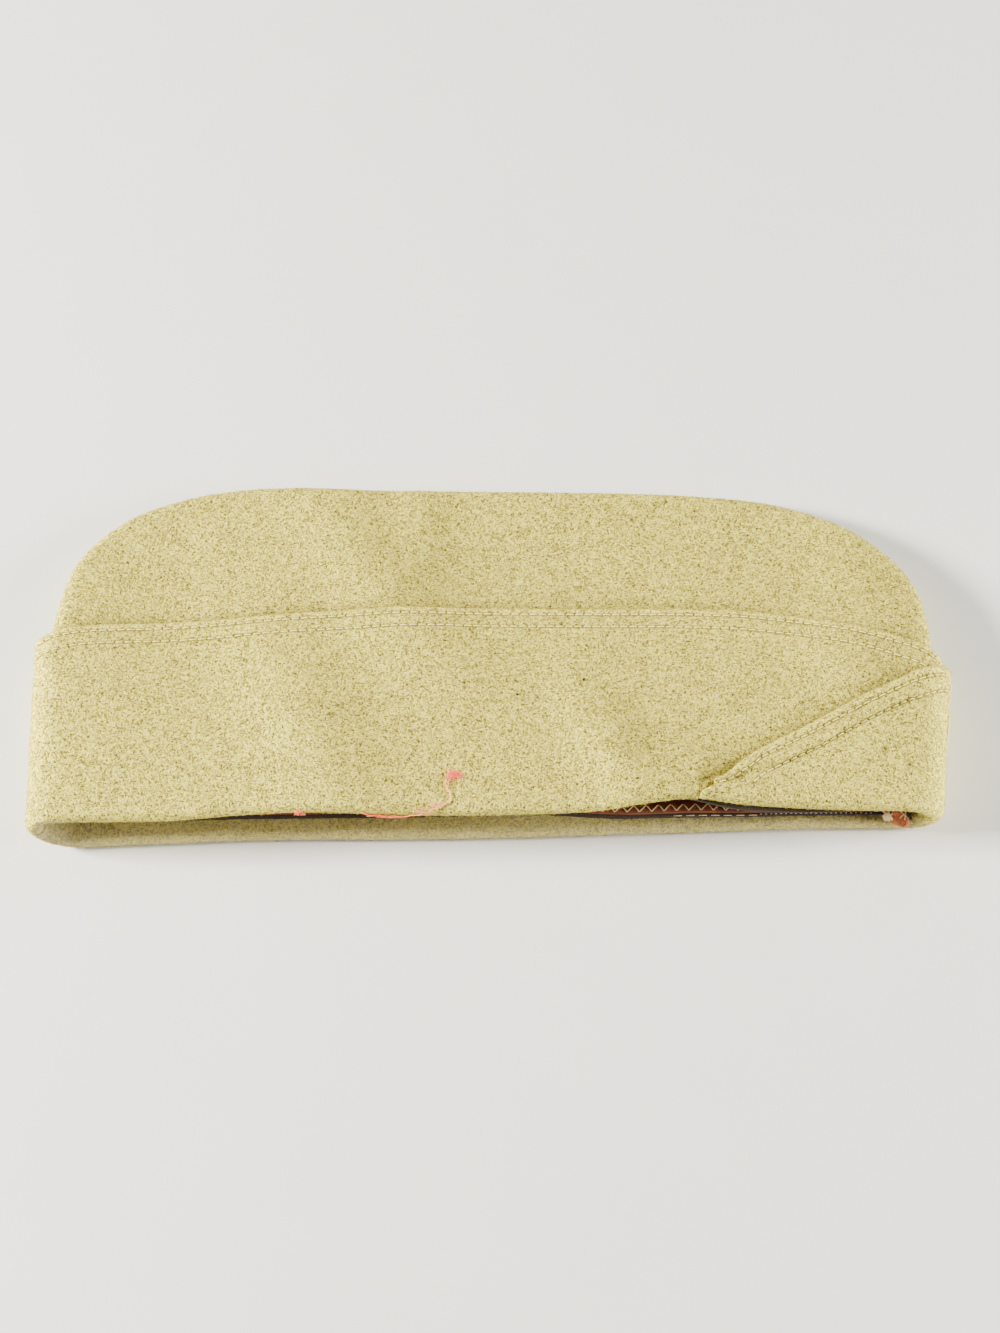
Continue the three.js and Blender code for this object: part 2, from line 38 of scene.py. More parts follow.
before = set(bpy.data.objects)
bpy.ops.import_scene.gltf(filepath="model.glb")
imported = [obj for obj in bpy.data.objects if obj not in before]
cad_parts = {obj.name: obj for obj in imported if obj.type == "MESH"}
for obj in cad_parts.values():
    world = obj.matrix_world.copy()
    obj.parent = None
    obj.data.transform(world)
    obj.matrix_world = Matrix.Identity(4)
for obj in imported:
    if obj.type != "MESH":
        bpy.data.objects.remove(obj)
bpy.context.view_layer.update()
MM = 0.001

# Driving dimensions of the solids, in metres
CROWN_LENGTH = 283 * MM
CROWN_HEIGHT = 123.8 * MM
CURTAIN_HEIGHT = 73.8 * MM
MOUTH_THICKNESS = 24 * MM
RIDGE_THICKNESS = 6.7 * MM
WOOL = 1.5 * MM
HEM_THICKNESS = 2.4 * MM
HEM_WIDTH = 9 * MM
TAPE = 1 * MM
TAPE_WIDTH = 14 * MM
TAPE_COVER = 3 * MM
TAPE_SHOWS = 0.8 * MM
LEATHER = 1 * MM
SWEATBAND_HEIGHT = 31 * MM
BAND_SAG = 2.4 * MM
BACK_STANDOFF = 2.2 * MM
BACK_SLUMP = 8 * MM
FRONT_TAIL = 30  # degrees that the right curtain runs on under the lap
TAB_WIDTH = 3.2 * MM
TAB_OUT = 0.8 * MM
TAB_IN = 9 * MM
CLEARANCE = 0.4 * MM
CAP_PLACE = np.array([-1.836, -59.998, 0]) * MM  # middle of the rim's length, from the origin

# Girth, counted in stations: the upper side from back to front, then the lower one. Each side has a
# quarter turn at either end and the flat between them
TURN = 6
FLAT = 24
HALF = 2 * TURN + FLAT
AROUND = 2 * HALF
QUARTER = math.pi / 2  # angle of a quarter turn

# Shares of the curtain's height
DROP_START = 1.02
DROP_END = 1.45
RIM_FADE = 0.8
SAG_TOP = 0.45
SAG_FOOT = 0.1
HEM_SHARE = 0.45
TIP_START = 0.2

# Shares of the crown's height
WAVE_FADE = 0.6
END_STRAIGHT = 0.3

# How far the crown's cloth is drawn in on its seam
SEAM_ROLL = 0.5 * MM

# Shares of the crown's length
SLUMP_REACH = 0.25
SAG_AT = 0.775
SAG_REACH = 0.1

# Shares of the quarter turn at the front
CLIMB_START = 0.92
CLIMB_END = 0.4
TAB_START = 0.62

# The lap's tip: its cut end slants, and its edge stands off a little
TIP_SLANT = 4.1 * MM
TIP_REACH = 12 * MM
TIP_STANDOFF = 0.5 * MM

# Shares of the hem's width
HEM_EASE = 0.07
COVERED_EASE = 0.7
COVERED_SHIFT = 0.3

# Seam line of the crown. along: share of its length from the back, up: share of its height
SEAM_LINE = {
    "along": (-0.002, 0.004, 0.018, 0.039, 0.09, 0.151, 0.226, 0.403, 0.631, 0.745, 0.836, 0.904, 0.954,
              0.986, 0.999, 1, 0.991),
    "up": (0, 0.32, 0.603, 0.765, 0.895, 0.961, 0.997, 0.994, 0.988, 0.976, 0.944, 0.879, 0.786,
           0.675, 0.531, 0.303, 0),
}

# How the flattened cap thins from the rim, full 1, to the ridge, full 0
BELLY = {"up": (0, 0.25, 0.55, 0.8, 1), "full": (1, 0.84, 0.5, 0.19, 0)}

# Waves of the mouth. rise: share of its thickness, upper and lower: where the two rims lie, as
# shares of the curtain's height
MOUTH = {
    "along": (0, 0.078, 0.159, 0.226, 0.297, 0.399, 0.516, 0.618, 0.661, 0.723, 0.781, 0.866, 1),
    "rise": (0.938, 0.959, 0.971, 1.017, 1.075, 1, 0.959, 0.984, 1.041, 1.092, 1.018, 0.946, 0.925),
    "upper": (-0.046, -0.05, -0.047, -0.029, -0.026, -0.025, -0.019, -0.006, 0.008, 0.039, 0.018,
              0.003, -0.006),
    "lower": (-0.058, -0.041, -0.029, -0.019, -0.014, -0.013, -0.005, 0.007, 0.013, 0.018, 0.028,
              0.041, 0.043),
}

# Upper edge of the curtain, and where the left one laps over the right side down to its tip
CURTAIN_EDGE = {
    "along": (0, 0.05, 0.12, 0.2, 0.3, 0.42, 0.6, 0.76, 0.84, 0.9, 0.95, 0.985, 1.02),
    "up": (0.872, 0.911, 0.929, 0.949, 0.98, 0.999, 1, 0.99, 0.949, 0.9, 0.838, 0.79, 0.76),
}
LAP_EDGE = {
    "along": (0.985, 1, 1.036, 1.092, 1.148, 1.203, 1.222, 1.242, 1.266),
    "up": (0.775, 0.748, 0.672, 0.547, 0.402, 0.262, 0.194, 0.126, 0.07),
}

# Lower edge of the tape above the rim
TAPE_EDGE = {"along": (0, 0.05, 0.16, 0.55, 0.67, 1), "up": (0.18, 0.16, 0.085, 0.082, 0.047, 0.047)}

# How far the tape has slipped down under the lap, in millimetres
TAPE_SLIP = {"along": (0, 0.7, 0.74, 0.8, 0.89, 0.95, 1), "down": (0, 0, 1, 2.4, 2.2, 0, 0)}

# Soft dents and swells of the upper side. along and up: middle, half and wide: reach along and
# across the fold as shares of the crown's height, lean: degrees, deep: share of the mouth's thickness
DENTS = (
    {"along": 0.375, "up": 0.72, "half": 0.42, "wide": 0.12, "lean": -32, "deep": 0.09},
    {"along": 0.306, "up": 0.245, "half": 0.28, "wide": 0.12, "lean": -26, "deep": 0.075},
    {"along": 0.16, "up": 0.55, "half": 0.34, "wide": 0.18, "lean": -20, "deep": -0.06},
    {"along": 0.64, "up": 0.16, "half": 0.22, "wide": 0.08, "lean": -24, "deep": 0.08},
    {"along": 0.56, "up": 0.76, "half": 0.13, "wide": 0.35, "lean": 0, "deep": -0.07},
    {"along": 0.43, "up": 0.88, "half": 0.12, "wide": 0.06, "lean": -5, "deep": 0.045},
    {"along": 0.754, "up": 0.83, "half": 0.035, "wide": 0.15, "lean": -4, "deep": -0.03},
    {"along": 0.92, "up": 0.7, "half": 0.25, "wide": 0.1, "lean": -10, "deep": 0.045},
    {"along": 0.9, "up": 0.42, "half": 0.14, "wide": 0.09, "lean": -20, "deep": 0.045},
    {"along": 0.716, "up": 0.08, "half": 0.06, "wide": 0.12, "lean": 0, "deep": 0.04},
    {"along": 0.758, "up": 0.19, "half": 0.06, "wide": 0.16, "lean": 0, "deep": -0.05},
)

# The loose thread. way: millimetres up the right curtain from its rim, and below the fold's top round
# it, lift: millimetres off the cloth, red: share of coral in its faded colour
LOOSE_THREAD = {
    "along": (0.4629, 0.4573, 0.4607, 0.4624, 0.4585, 0.4495, 0.4383, 0.4272, 0.4104, 0.3958, 0.3824,
              0.3667),
    "way": (12.0, 9.0, 6.5, 4.6, 2.9, 1.6, 0.2, -0.9, -1.9, -2.5, -2.2, -1.4),
    "lift": (0.5, 0.4, 0.6, 0.4, 0.5, 0.5, 0.4, 0.5, 0.6, 0.8, 0.6, 0.3),
    "red": (0.8, 0.3, 0.05, 0, 0, 0.05, 0.1, 0.3, 0.8, 1, 1, 0.7),
}

# Tangles of its fibres. wide and high: millimetres to each side
TANGLES = (
    {"along": 0.4655, "way": 12.6, "wide": 3.2, "high": 1.9, "fibres": 110, "red": 1.3},
    {"along": 0.4575, "way": 9.4, "wide": 0.8, "high": 2.0, "fibres": 16, "red": 0.4},
    {"along": 0.449, "way": 2.4, "wide": 3.6, "high": 1.3, "fibres": 18, "red": 0.1},
    {"along": 0.433, "way": 0.2, "wide": 5.0, "high": 1.2, "fibres": 18, "red": 0.3},
    {"along": 0.391, "way": -2.3, "wide": 6.5, "high": 0.5, "fibres": 34, "red": 1.4},
    {"along": 0.402, "way": -3.4, "wide": 4.0, "high": 1.3, "fibres": 12, "red": 0.5},
    {"along": 0.2985, "way": -1.8, "wide": 1.9, "high": 1.7, "fibres": 44, "red": 1.5},
)

# Specks on the curtains. lap: on the left one, long: millimetres
SPECKS = (
    {"along": 0.5994, "way": 46, "long": 1.0, "lean": 70, "dark": True, "lap": False},
    {"along": 0.5278, "way": 40.7, "long": 0.8, "lean": 20, "dark": True, "lap": False},
    {"along": 0.9715, "way": 14.5, "long": 0.8, "lean": 35, "dark": True, "lap": True},
    {"along": 0.7436, "way": 38.2, "long": 2.4, "lean": -20, "dark": False, "lap": False},
    {"along": 0.745, "way": 39, "long": 2.0, "lean": 50, "dark": False, "lap": False},
)

# Scraps at the raw end. x: millimetres to the front of the turn's start, in: millimetres up from the rim
SCRAPS = (
    {"name": "cream_scrap", "x": (-5.6, -2.4), "in": (0.7, 3.0), "cream": True},
    {"name": "slit_scrap", "x": (-3.3, -2.7), "in": (2.4, 4.6), "cream": False},
    {"name": "dark_scrap", "x": (3.4, 4.9), "in": (0.6, 3.6), "cream": False},
    {"name": "dark_crumb", "x": (2.2, 3.0), "in": (3.2, 4.5), "cream": False},
)
SCRAP_THREADS = (
    {"x": (0.4, 2.4, 4.0), "in": (3.4, 2.4, 3.0), "cream": True},
    {"x": (0.2, 2.0, 3.8), "in": (1.4, 2.2, 1.0), "cream": True},
    {"x": (2.0, 2.9, 3.6), "in": (0.9, 2.0, 3.6), "cream": True},
    {"x": (-8.2, -6.4, -4.4), "in": (4.7, 3.9, 2.2), "cream": False},
    {"x": (-7.6, -5.6, -3.6), "in": (4.4, 3.2, 2.9), "cream": False},
)

# Offsets of the layers from the crown's outer face, outwards positive
LEG_OUTSIDE = CLEARANCE
LEG_INSIDE = -WOOL - CLEARANCE
LAYER = CLEARANCE + WOOL
TAPE_ON_LEG = LEG_INSIDE - LAYER
TAPE_ON_CROWN = LEG_INSIDE - CLEARANCE
LEATHER_ON_TAPE = TAPE_ON_LEG - TAPE - CLEARANCE
LEATHER_ON_CROWN = TAPE_ON_CROWN - TAPE - CLEARANCE
CROWN_FOOT = 2 * LAYER - WOOL / 2 + CLEARANCE * 2
LAP_FOLD = (LEG_OUTSIDE + LAYER - LEG_INSIDE) / 2 + WOOL
STRIP_FOOT = CROWN_FOOT + LAYER - WOOL / 2

# Painted light and shade on the wool: the slope that gives full painted light, and leaning the other way full
# painted shade, how light the turned ends are painted, how far the painted shade beside an edge reaches from
# it and over it, and how dark the painted shade of the strips and of the inside at the back is
PAINTED_LIGHT_SLOPE = 0.16
PAINTED_END_LIGHT = 0.55
PAINTED_END_LIGHT_FALL = 1.5
EDGE_SHADE = 1.6 * MM
EDGE_SHADE_OVER = 0.3 * MM
TIP_SHADE_REACH = 1.6  # in stations
BACK_SHADE = 0.6
CROWN_SHADE = 0.85
LAP_SHADE = 0.45
LAP_SHADE_AT_TIP = 0.5  # added there

# Relief of the topstitching, and the painted shade in its grooves
GROOVE_WIDTH = 0.55 * MM
SEWN_WIDTH = 0.5 * MM
PUFF_WIDTH = 1.6 * MM
PUFF = 0.35  # this, ROLL and STITCH_RAISED: shares of the groove's depth
ROLL = 0.7
STITCH_RAISED = 0.6
ROLL_AT = 0.45  # this and ROLL_WIDTH: shares of the first row's distance from the edge
ROLL_WIDTH = 0.38
RELIEF_FADE = (4 * MM, 12 * MM)  # where the curtain is that much higher than its fold
LAP_ROWS = (HALF - 1.5, HALF - 0.5)  # stations between which the rows move in

# Tints of the painted light and shade: colours that multiply the wool's, and heights between which the wool
# is greyed
PAINTED_SHADE_TINT = (0.62, 0.61, 0.6)
SHADED = (0.2, 0.17, 0.12)
UNTINTED = (1, 1, 1)
GREYED_UP = (30 * MM, 12 * MM)

# Curling fibres on the wool: light, finer light and dark. thin: how narrow, by: where their pattern lies
WOOL_CURLS = (
    {"size": 1.0 * MM, "thin": 3.7, "by": (0.11, 0.07, 0.02)},
    {"size": 0.7 * MM, "thin": 3.8, "by": (0.27, 0.19, 0.05)},
    {"size": 0.85 * MM, "thin": 2.6, "by": (0.41, 0.31, 0.08)},
)

# The nap's fibres. long: shares of their length, bend: share of it, stand and lift: millimetres
NAP = {"long": (0.5, 1.4), "bend": (-0.35, 0.35), "stand": (0.02, 0.14), "lift": 0.08, "most_lift": 0.6}
NAP_START = 0.74  # on the crown, share of the curtain's height

# Stitches of the tape. up: millimetres above its edge, pitch and long: shares of the stitch pitch
TAPE_STITCHES = (
    {"along": (0.7, 0.8), "up": 0.15, "pitch": 1, "long": 0.75},
    {"along": (0.8, 0.93), "up": 0.5, "pitch": 0.4, "long": 0.14},
)

# Soft boxes of the stage, aimed at the cap
SOFT_BOXES = {
    "key_light": {"size": 0.3, "place": (-1.2, -0.02, 0.56), "tint": (1.0, 0.96, 0.86)},
    "fill_light": {"size": 0.5, "place": (1.1, -0.1, 0.3), "tint": (1.0, 0.97, 0.9)},
}
SENSOR_WIDTH = 36  # in millimetres

# How finely the cloth is divided
COLUMN = 1.6 * MM  # along the girth
ROW = 1.2 * MM  # up the cloth
CROWN_ROW = 1.3 * ROW
MORE_CROWN_COLUMNS = 60  # as the seam line is longer than the girth
HEM_ROW = 0.45 * MM
TURN_COLUMNS = 14  # in a quarter turn
FOLD_ROWS = 20  # round the rim
EDGE_ROWS = 4  # over the hem's rounded edge
INNER_ROWS = 9  # up the turned-in leg
TAPE_ROWS = 14
LEATHER_ROWS = 40
LINE_STEPS = 900  # along a row of topstitching
SEAM_STEPS = 600
GIRTH_STEPS = 1440


def lerp(a, b, t):
    return a + (b - a) * t


def smoothstep(x, low, high):
    t = np.clip((x - low) / (high - low), 0, 1)
    return t * t * (3 - 2 * t)


def follow(table, key, column, at):
    """Value of a column at any place of the key column, on a smooth curve through the rows."""
    keys = np.array(table[key], float)
    values = np.array(table[column], float)
    last = len(keys) - 1
    rows = np.arange(last + 1)
    before = np.maximum(rows - 1, 0)
    after = np.minimum(rows + 1, last)
    slopes = (values[after] - values[before]) / (keys[after] - keys[before])
    at = np.clip(at, keys[0], keys[-1])
    i = np.clip(np.searchsorted(keys, at, side="right") - 1, 0, last - 1)
    width = keys[i + 1] - keys[i]
    t = (at - keys[i]) / width
    rise = values[i + 1] - values[i]
    start = slopes[i] * width
    end = slopes[i + 1] * width
    return values[i] + start * t + (3 * rise - 2 * start - end) * t**2 + (start + end - 2 * rise) * t**3


def share_of(x):
    """Share of the crown's length at a place, from the back."""
    return x / CROWN_LENGTH + 0.5


def place_of(along):
    """Place of a share of the crown's length."""
    return CROWN_LENGTH * (along - 0.5)


def stations(length):
    """How many stations a length along the flat side takes."""
    return length * FLAT / CROWN_LENGTH


SEAM_KNOTS = np.column_stack([
    place_of(np.array(SEAM_LINE["along"])),
    lerp(CROWN_FOOT, CROWN_HEIGHT, np.array(SEAM_LINE["up"])),
])


def seam_at(share):
    """Point of the crown's seam line, a centripetal spline through its knots."""
    knots = np.vstack([2 * SEAM_KNOTS[0] - SEAM_KNOTS[1], SEAM_KNOTS, 2 * SEAM_KNOTS[-1] - SEAM_KNOTS[-2]])
    spans = len(SEAM_KNOTS) - 1
    place = np.clip(np.asarray(share, float), 0, 1) * spans
    i = np.minimum(place.astype(int), spans - 1)
    t = (place - i)[..., None]
    p0, p1, p2, p3 = (knots[i + k] for k in range(4))
    pairs = ((p0, p1), (p1, p2), (p2, p3))
    d0, d1, d2 = (np.sqrt(np.linalg.norm(b - a, axis=-1))[..., None] for a, b in pairs)
    leave = ((p1 - p0) / d0 - (p2 - p0) / (d0 + d1) + (p2 - p1) / d1) * d1
    arrive = ((p2 - p1) / d1 - (p3 - p1) / (d1 + d2) + (p3 - p2) / d2) * d1
    square = 3 * (p2 - p1) - 2 * leave - arrive
    cube = leave + arrive - 2 * (p2 - p1)
    return p1 + leave * t + square * t**2 + cube * t**3


SEAM_POINTS = seam_at(np.linspace(0, 1, SEAM_STEPS))
SEAM_TOP = int(SEAM_POINTS[:, 1].argmax())


def end_x(front, y):
    """Where the seam line passes a height at the back or the front."""
    points = SEAM_POINTS[SEAM_TOP:][::-1] if front else SEAM_POINTS[:SEAM_TOP + 1]
    return np.interp(y, points[:, 1], points[:, 0])


def far_face(y):
    """Height of the crown's lower face above the table."""
    return LAYER * (1 - smoothstep(y, CURTAIN_HEIGHT * DROP_START, CURTAIN_HEIGHT * DROP_END))


def swell(x, y):
    """Soft swell of all the dents at a place."""
    total = np.zeros(np.broadcast(x, y).shape)
    for dent in DENTS:
        dx = x - place_of(dent["along"])
        dy = y - CROWN_HEIGHT * dent["up"]
        lean = math.radians(dent["lean"])
        run = (dy * math.cos(lean) + dx * math.sin(lean)) / (CROWN_HEIGHT * dent["half"])
        across = (dx * math.cos(lean) - dy * math.sin(lean)) / (CROWN_HEIGHT * dent["wide"])
        total += MOUTH_THICKNESS * dent["deep"] * np.exp(-run**2 - across**2)
    return total


def near_face(x, y):
    """Height of the crown's upper face above the table, away from its seam."""
    waves = follow(MOUTH, "along", "rise", share_of(x)) - 1
    rise = 1 + waves * (1 - smoothstep(y, 0, CROWN_HEIGHT * WAVE_FADE))
    full = follow(BELLY, "up", "full", y / CROWN_HEIGHT)
    return lerp(RIDGE_THICKNESS, MOUTH_THICKNESS * rise - LAYER, full) + swell(x, y)


def turn_radius(y):
    """Radius of the turn from one side to the other at a height."""
    full = follow(BELLY, "up", "full", y / CROWN_HEIGHT)
    return (lerp(RIDGE_THICKNESS, MOUTH_THICKNESS - LAYER, full) - far_face(y)) / 2


def skin_point(side, x, y, turn, out, offset, split=0.0, level=True):
    """Point at an offset from the crown's face. turn is 0 on the seam line, a quarter turn on the flats."""
    def face(px, py):
        return np.where(side > 0, near_face(px, py), far_face(py))
    middle = (near_face(x, y) + far_face(y)) / 2
    rise = np.abs(face(x, y) - middle)
    flat = turn_radius(y) * np.sin(turn) * side
    edge = rise * np.cos(turn)
    nx = out[0] * edge - flat * (face(x + MM, y) - face(x - MM, y)) / (2 * MM)
    ny = 0 * nx if level else out[1] * edge - flat * (face(x, y + MM) - face(x, y - MM)) / (2 * MM)
    normal = np.stack(np.broadcast_arrays(nx, ny, flat), -1)
    normal /= np.linalg.norm(normal, axis=-1, keepdims=True)
    z = middle + side * lerp(split, rise, np.sin(turn))
    point = np.stack(np.broadcast_arrays(x, y, z), -1)
    return point + normal * np.asarray(offset, float)[..., None]


def station(count, y):
    """Side, x, turn and outward direction of a station of the girth at a height."""
    around = np.mod(count, AROUND)
    side = np.where(around <= HALF, 1.0, -1.0)
    from_back = np.where(side > 0, around, AROUND - around)
    front = from_back > HALF / 2
    from_end = np.where(front, HALF - from_back, from_back)
    radius = turn_radius(y)
    back = end_x(False, y) + radius
    ahead = end_x(True, y) - radius
    turn = np.minimum(from_end / TURN, 1) * QUARTER
    out = np.where(front, 1.0, -1.0)
    x = np.where(
        from_end < TURN,
        np.where(front, ahead, back) + out * radius * np.cos(turn),
        lerp(back, ahead, (from_back - TURN) / FLAT),
    )
    return side, x, turn, out


def lie(point):
    """Where the cloth lies: the rims wave, and the lower side has slid forward."""
    x, y, z = np.moveaxis(point, -1, 0)
    height = np.clip(z / (MOUTH_THICKNESS * follow(MOUTH, "along", "rise", share_of(x))), 0, 1)
    upper = follow(MOUTH, "along", "upper", share_of(x))
    lower = follow(MOUTH, "along", "lower", share_of(x))
    near_rim = 1 - smoothstep(y, 0, CURTAIN_HEIGHT * RIM_FADE)
    near_back = 1 - smoothstep(x, place_of(0), place_of(SLUMP_REACH))
    moved = np.stack([
        x + BACK_SLUMP * (1 - height) ** 2 * near_rim * near_back,
        y + CURTAIN_HEIGHT * lerp(lower, upper, height) * near_rim,
        z,
    ], -1)
    return moved + CAP_PLACE


def girth_point(count, y, offset):
    """Point of the cloth at a station, a height and an offset, lying as it does."""
    count, y, offset = np.broadcast_arrays(np.asarray(count, float), y, offset)
    side, x, turn, out = station(count, y)
    return lie(skin_point(side, x, y, turn, (out, 0), offset))


def along_of(count, lap):
    """Share of the crown's length of a station, counted on past the front for the lap."""
    along = np.clip(share_of(station(count, 0.0)[1]), 0, 1)
    return np.where(lap & (count < HALF), 2 - along, along)


def station_at(along):
    """Station of the upper side at a share of the crown's length."""
    radius = turn_radius(0.0)
    back = end_x(False, 0.0) + radius
    ahead = end_x(True, 0.0) - radius
    return TURN + FLAT * (place_of(along) - back) / (ahead - back)


GIRTH_COUNTS = np.linspace(0, AROUND, GIRTH_STEPS + 1)
GIRTH_LENGTHS = np.concatenate([[0], np.cumsum(np.linalg.norm(
    np.diff(girth_point(GIRTH_COUNTS, CURTAIN_HEIGHT / 2, LEG_OUTSIDE), axis=0), axis=-1,
))])
TIP_STATION = float(station_at(2 - LAP_EDGE["along"][-1]))
CUT_STATION = TIP_STATION - stations(CLEARANCE)


def girth_length(count):
    """Length along the girth from the back seam to a station."""
    return np.interp(count, GIRTH_COUNTS, GIRTH_LENGTHS)


def tape_foot(count):
    """Height of the tape's lower edge."""
    return CURTAIN_HEIGHT * follow(TAPE_EDGE, "along", "up", along_of(count, False))


def tape_slip(count):
    """How far the tape's lower edge has slipped, on the right side only."""
    return np.where(count < HALF, follow(TAPE_SLIP, "along", "down", along_of(count, False)), 0) * MM


def hem_width(top, fold):
    """Width of the hem, narrower where the curtain is low."""
    return np.minimum(HEM_WIDTH, (top - fold) * HEM_SHARE)


def outer_leg(count, y, top, fold, ease=HEM_EASE):
    """Inner and outer offset of the curtain's outer leg, with its doubled hem."""
    hem = hem_width(top, fold)
    side, _, turn, out = station(count, y)
    above = (1 + side * np.sin(turn)) / 2
    doubled = smoothstep(y, top - hem * (1 + ease), top - hem) * above
    lean = np.where(out < 0, BACK_STANDOFF * (np.cos(turn) * y / CURTAIN_HEIGHT) ** 2, 0)
    return LEG_OUTSIDE + lean, LEG_OUTSIDE + lean + lerp(WOOL, HEM_THICKNESS, doubled)


def right_top(count):
    """Height of the right curtain's edge."""
    return CURTAIN_HEIGHT * follow(CURTAIN_EDGE, "along", "up", along_of(count, False))


def left_top(count):
    """Height of the left curtain's edge. The lap's tip ends level with its rim fold."""
    along = along_of(count, True)
    edge = CURTAIN_HEIGHT * follow(CURTAIN_EDGE, "along", "up", along)
    lap = CURTAIN_HEIGHT * follow(LAP_EDGE, "along", "up", along)
    return np.maximum(np.where(along > LAP_EDGE["along"][0], lap, edge), LAP_FOLD + WOOL / 2)


def lapped_leg(count, y, top, fold):
    """Offsets of the left curtain's outer leg, which passes over the right curtain at the front."""
    inside, outside = outer_leg(count, y, top, fold)
    climb = 1 - smoothstep(count, HALF + TURN * CLIMB_END, HALF + TURN * CLIMB_START)
    under = outer_leg(count, y + HEM_WIDTH * COVERED_SHIFT, right_top(count), fold, COVERED_EASE)[1]
    lift = climb * (under + CLEARANCE - inside)
    near_tip = 1 - smoothstep(girth_length(count) - girth_length(TIP_STATION), 0, 3 * TIP_REACH)
    lift = lift + TIP_STANDOFF * near_tip * smoothstep(y, 0, LAP_FOLD * 2)
    return inside + lift, outside + lift


def tip_slant(count, up):
    """How many stations a row of cloth is moved along, so that the cuts at the lap's tip slant."""
    near = 1 - smoothstep(np.abs(girth_length(count) - girth_length(TIP_STATION)), 0, TIP_REACH)
    return stations(TIP_SLANT) * near * np.clip(up / LAP_FOLD, 0, 1)


def edge_slope(count, top_of):
    """How much longer a way straight down is than the way square to the curtain's edge."""
    step = 0.05
    run = girth_length(count + step) - girth_length(count - step)
    rise = top_of(count + step) - top_of(count - step)
    return np.sqrt(1 + (rise / run) ** 2)


def painted_light_and_shade(count, x, y, turn):
    """0 for full painted shade and 1 for full painted light: lighter on slopes that face the back, towards
    the key light, and on the turned ends.
    """
    slope = (swell(x + MM, y) - swell(x - MM, y)) / (2 * MM)
    upper = np.where(count <= HALF, 1.0, 0.0)
    ends = PAINTED_END_LIGHT * np.cos(turn) ** PAINTED_END_LIGHT_FALL
    return np.clip(0.5 + 0.5 * upper * slope / PAINTED_LIGHT_SLOPE + ends, 0, 1)


def beside(depth, reach=EDGE_SHADE):
    """Share of the painted shade beside an edge: 1 just beyond it and 0 from a few millimetres on. depth is
    negative beyond it.
    """
    return np.where(depth < 0, np.exp(depth / reach), np.exp(-depth / EDGE_SHADE_OVER))


def mesh_piece(name, points, faces, finish, cloth=None, marks=None):
    """Mesh object from points and faces, riding on the cap and no lower than the table. cloth gives each
    point's place on the flat cloth, and marks its shares for the finish."""
    points[:, 2] = np.maximum(points[:, 2], 0)
    mesh = bpy.data.meshes.new(name)
    mesh.from_pydata(points.tolist(), [], faces)
    mesh.polygons.foreach_set("use_smooth", [True] * len(mesh.polygons))
    if cloth is not None:
        layer = mesh.uv_layers.new(name="cloth")
        corners = np.empty(len(mesh.loops), int)
        mesh.loops.foreach_get("vertex_index", corners)
        layer.uv.foreach_set("vector", cloth[corners].astype(np.float32).ravel())
    for mark, shares in (marks or {}).items():
        mesh.attributes.new(mark, "FLOAT", "POINT").data.foreach_set("value", shares.astype(np.float32))
    mesh.materials.append(finish)
    mesh.update()
    piece = bpy.data.objects.new(name, mesh)
    bpy.context.collection.objects.link(piece)
    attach(piece, "root")
    return piece


def sheet_piece(name, outer, inner, finish, cloth=None, keep=None, ring=False, marks=None):
    """Closed body between two faces of a sheet, each a grid of points. keep says which cells are cloth,
    and ring joins the first column to the last."""
    columns, rows = outer.shape[:2]
    pairs = np.concatenate([outer, inner], -1).reshape(-1, 6)
    _, first, index = np.unique(np.round(pairs, 7), axis=0, return_index=True, return_inverse=True)
    index = index.reshape(columns, rows)
    if ring:
        index = np.vstack([index, index[:1]])
    cells = np.stack([index[:-1, :-1], index[1:, :-1], index[1:, 1:], index[:-1, 1:]], -1)
    cells = cells[keep] if keep is not None else cells.reshape(-1, 4)
    loops = [list(dict.fromkeys(cell)) for cell in cells.tolist()]
    loops = [cell for cell in loops if len(cell) > 2]
    edges = {(a, b) for cell in loops for a, b in zip(cell, cell[1:] + cell[:1])}
    count = len(first)
    rim = [(a, b) for a, b in edges if (b, a) not in edges]
    points = np.concatenate([pairs[first, :3], pairs[first, 3:]])
    back = [[corner + count for corner in reversed(cell)] for cell in loops]
    walls = [[b, a, a + count, b + count] for a, b in rim]
    faces = loops + back + walls
    fans = np.array([[f[0], f[k], f[k + 1]] for f in faces for k in range(1, len(f) - 1)])
    a, b, c = (points[fans[:, k]] for k in range(3))
    if np.einsum("ij,ij->i", a, np.cross(b, c)).sum() < 0:
        faces = [face[::-1] for face in faces]
    used = np.unique(np.concatenate([np.array(face) for face in faces]))
    renumber = np.zeros(len(points), int)
    renumber[used] = np.arange(len(used))
    faces = [[int(renumber[corner]) for corner in face] for face in faces]
    shares = {"front": (used < count).astype(float)}
    for mark, values in (marks or {}).items():
        shares[mark] = np.tile(values.reshape(-1)[first], 2)[used]
    flat = None if cloth is None else np.tile(cloth.reshape(-1, 2)[first], (2, 1))[used]
    return mesh_piece(name, points[used], faces, finish, flat, shares)


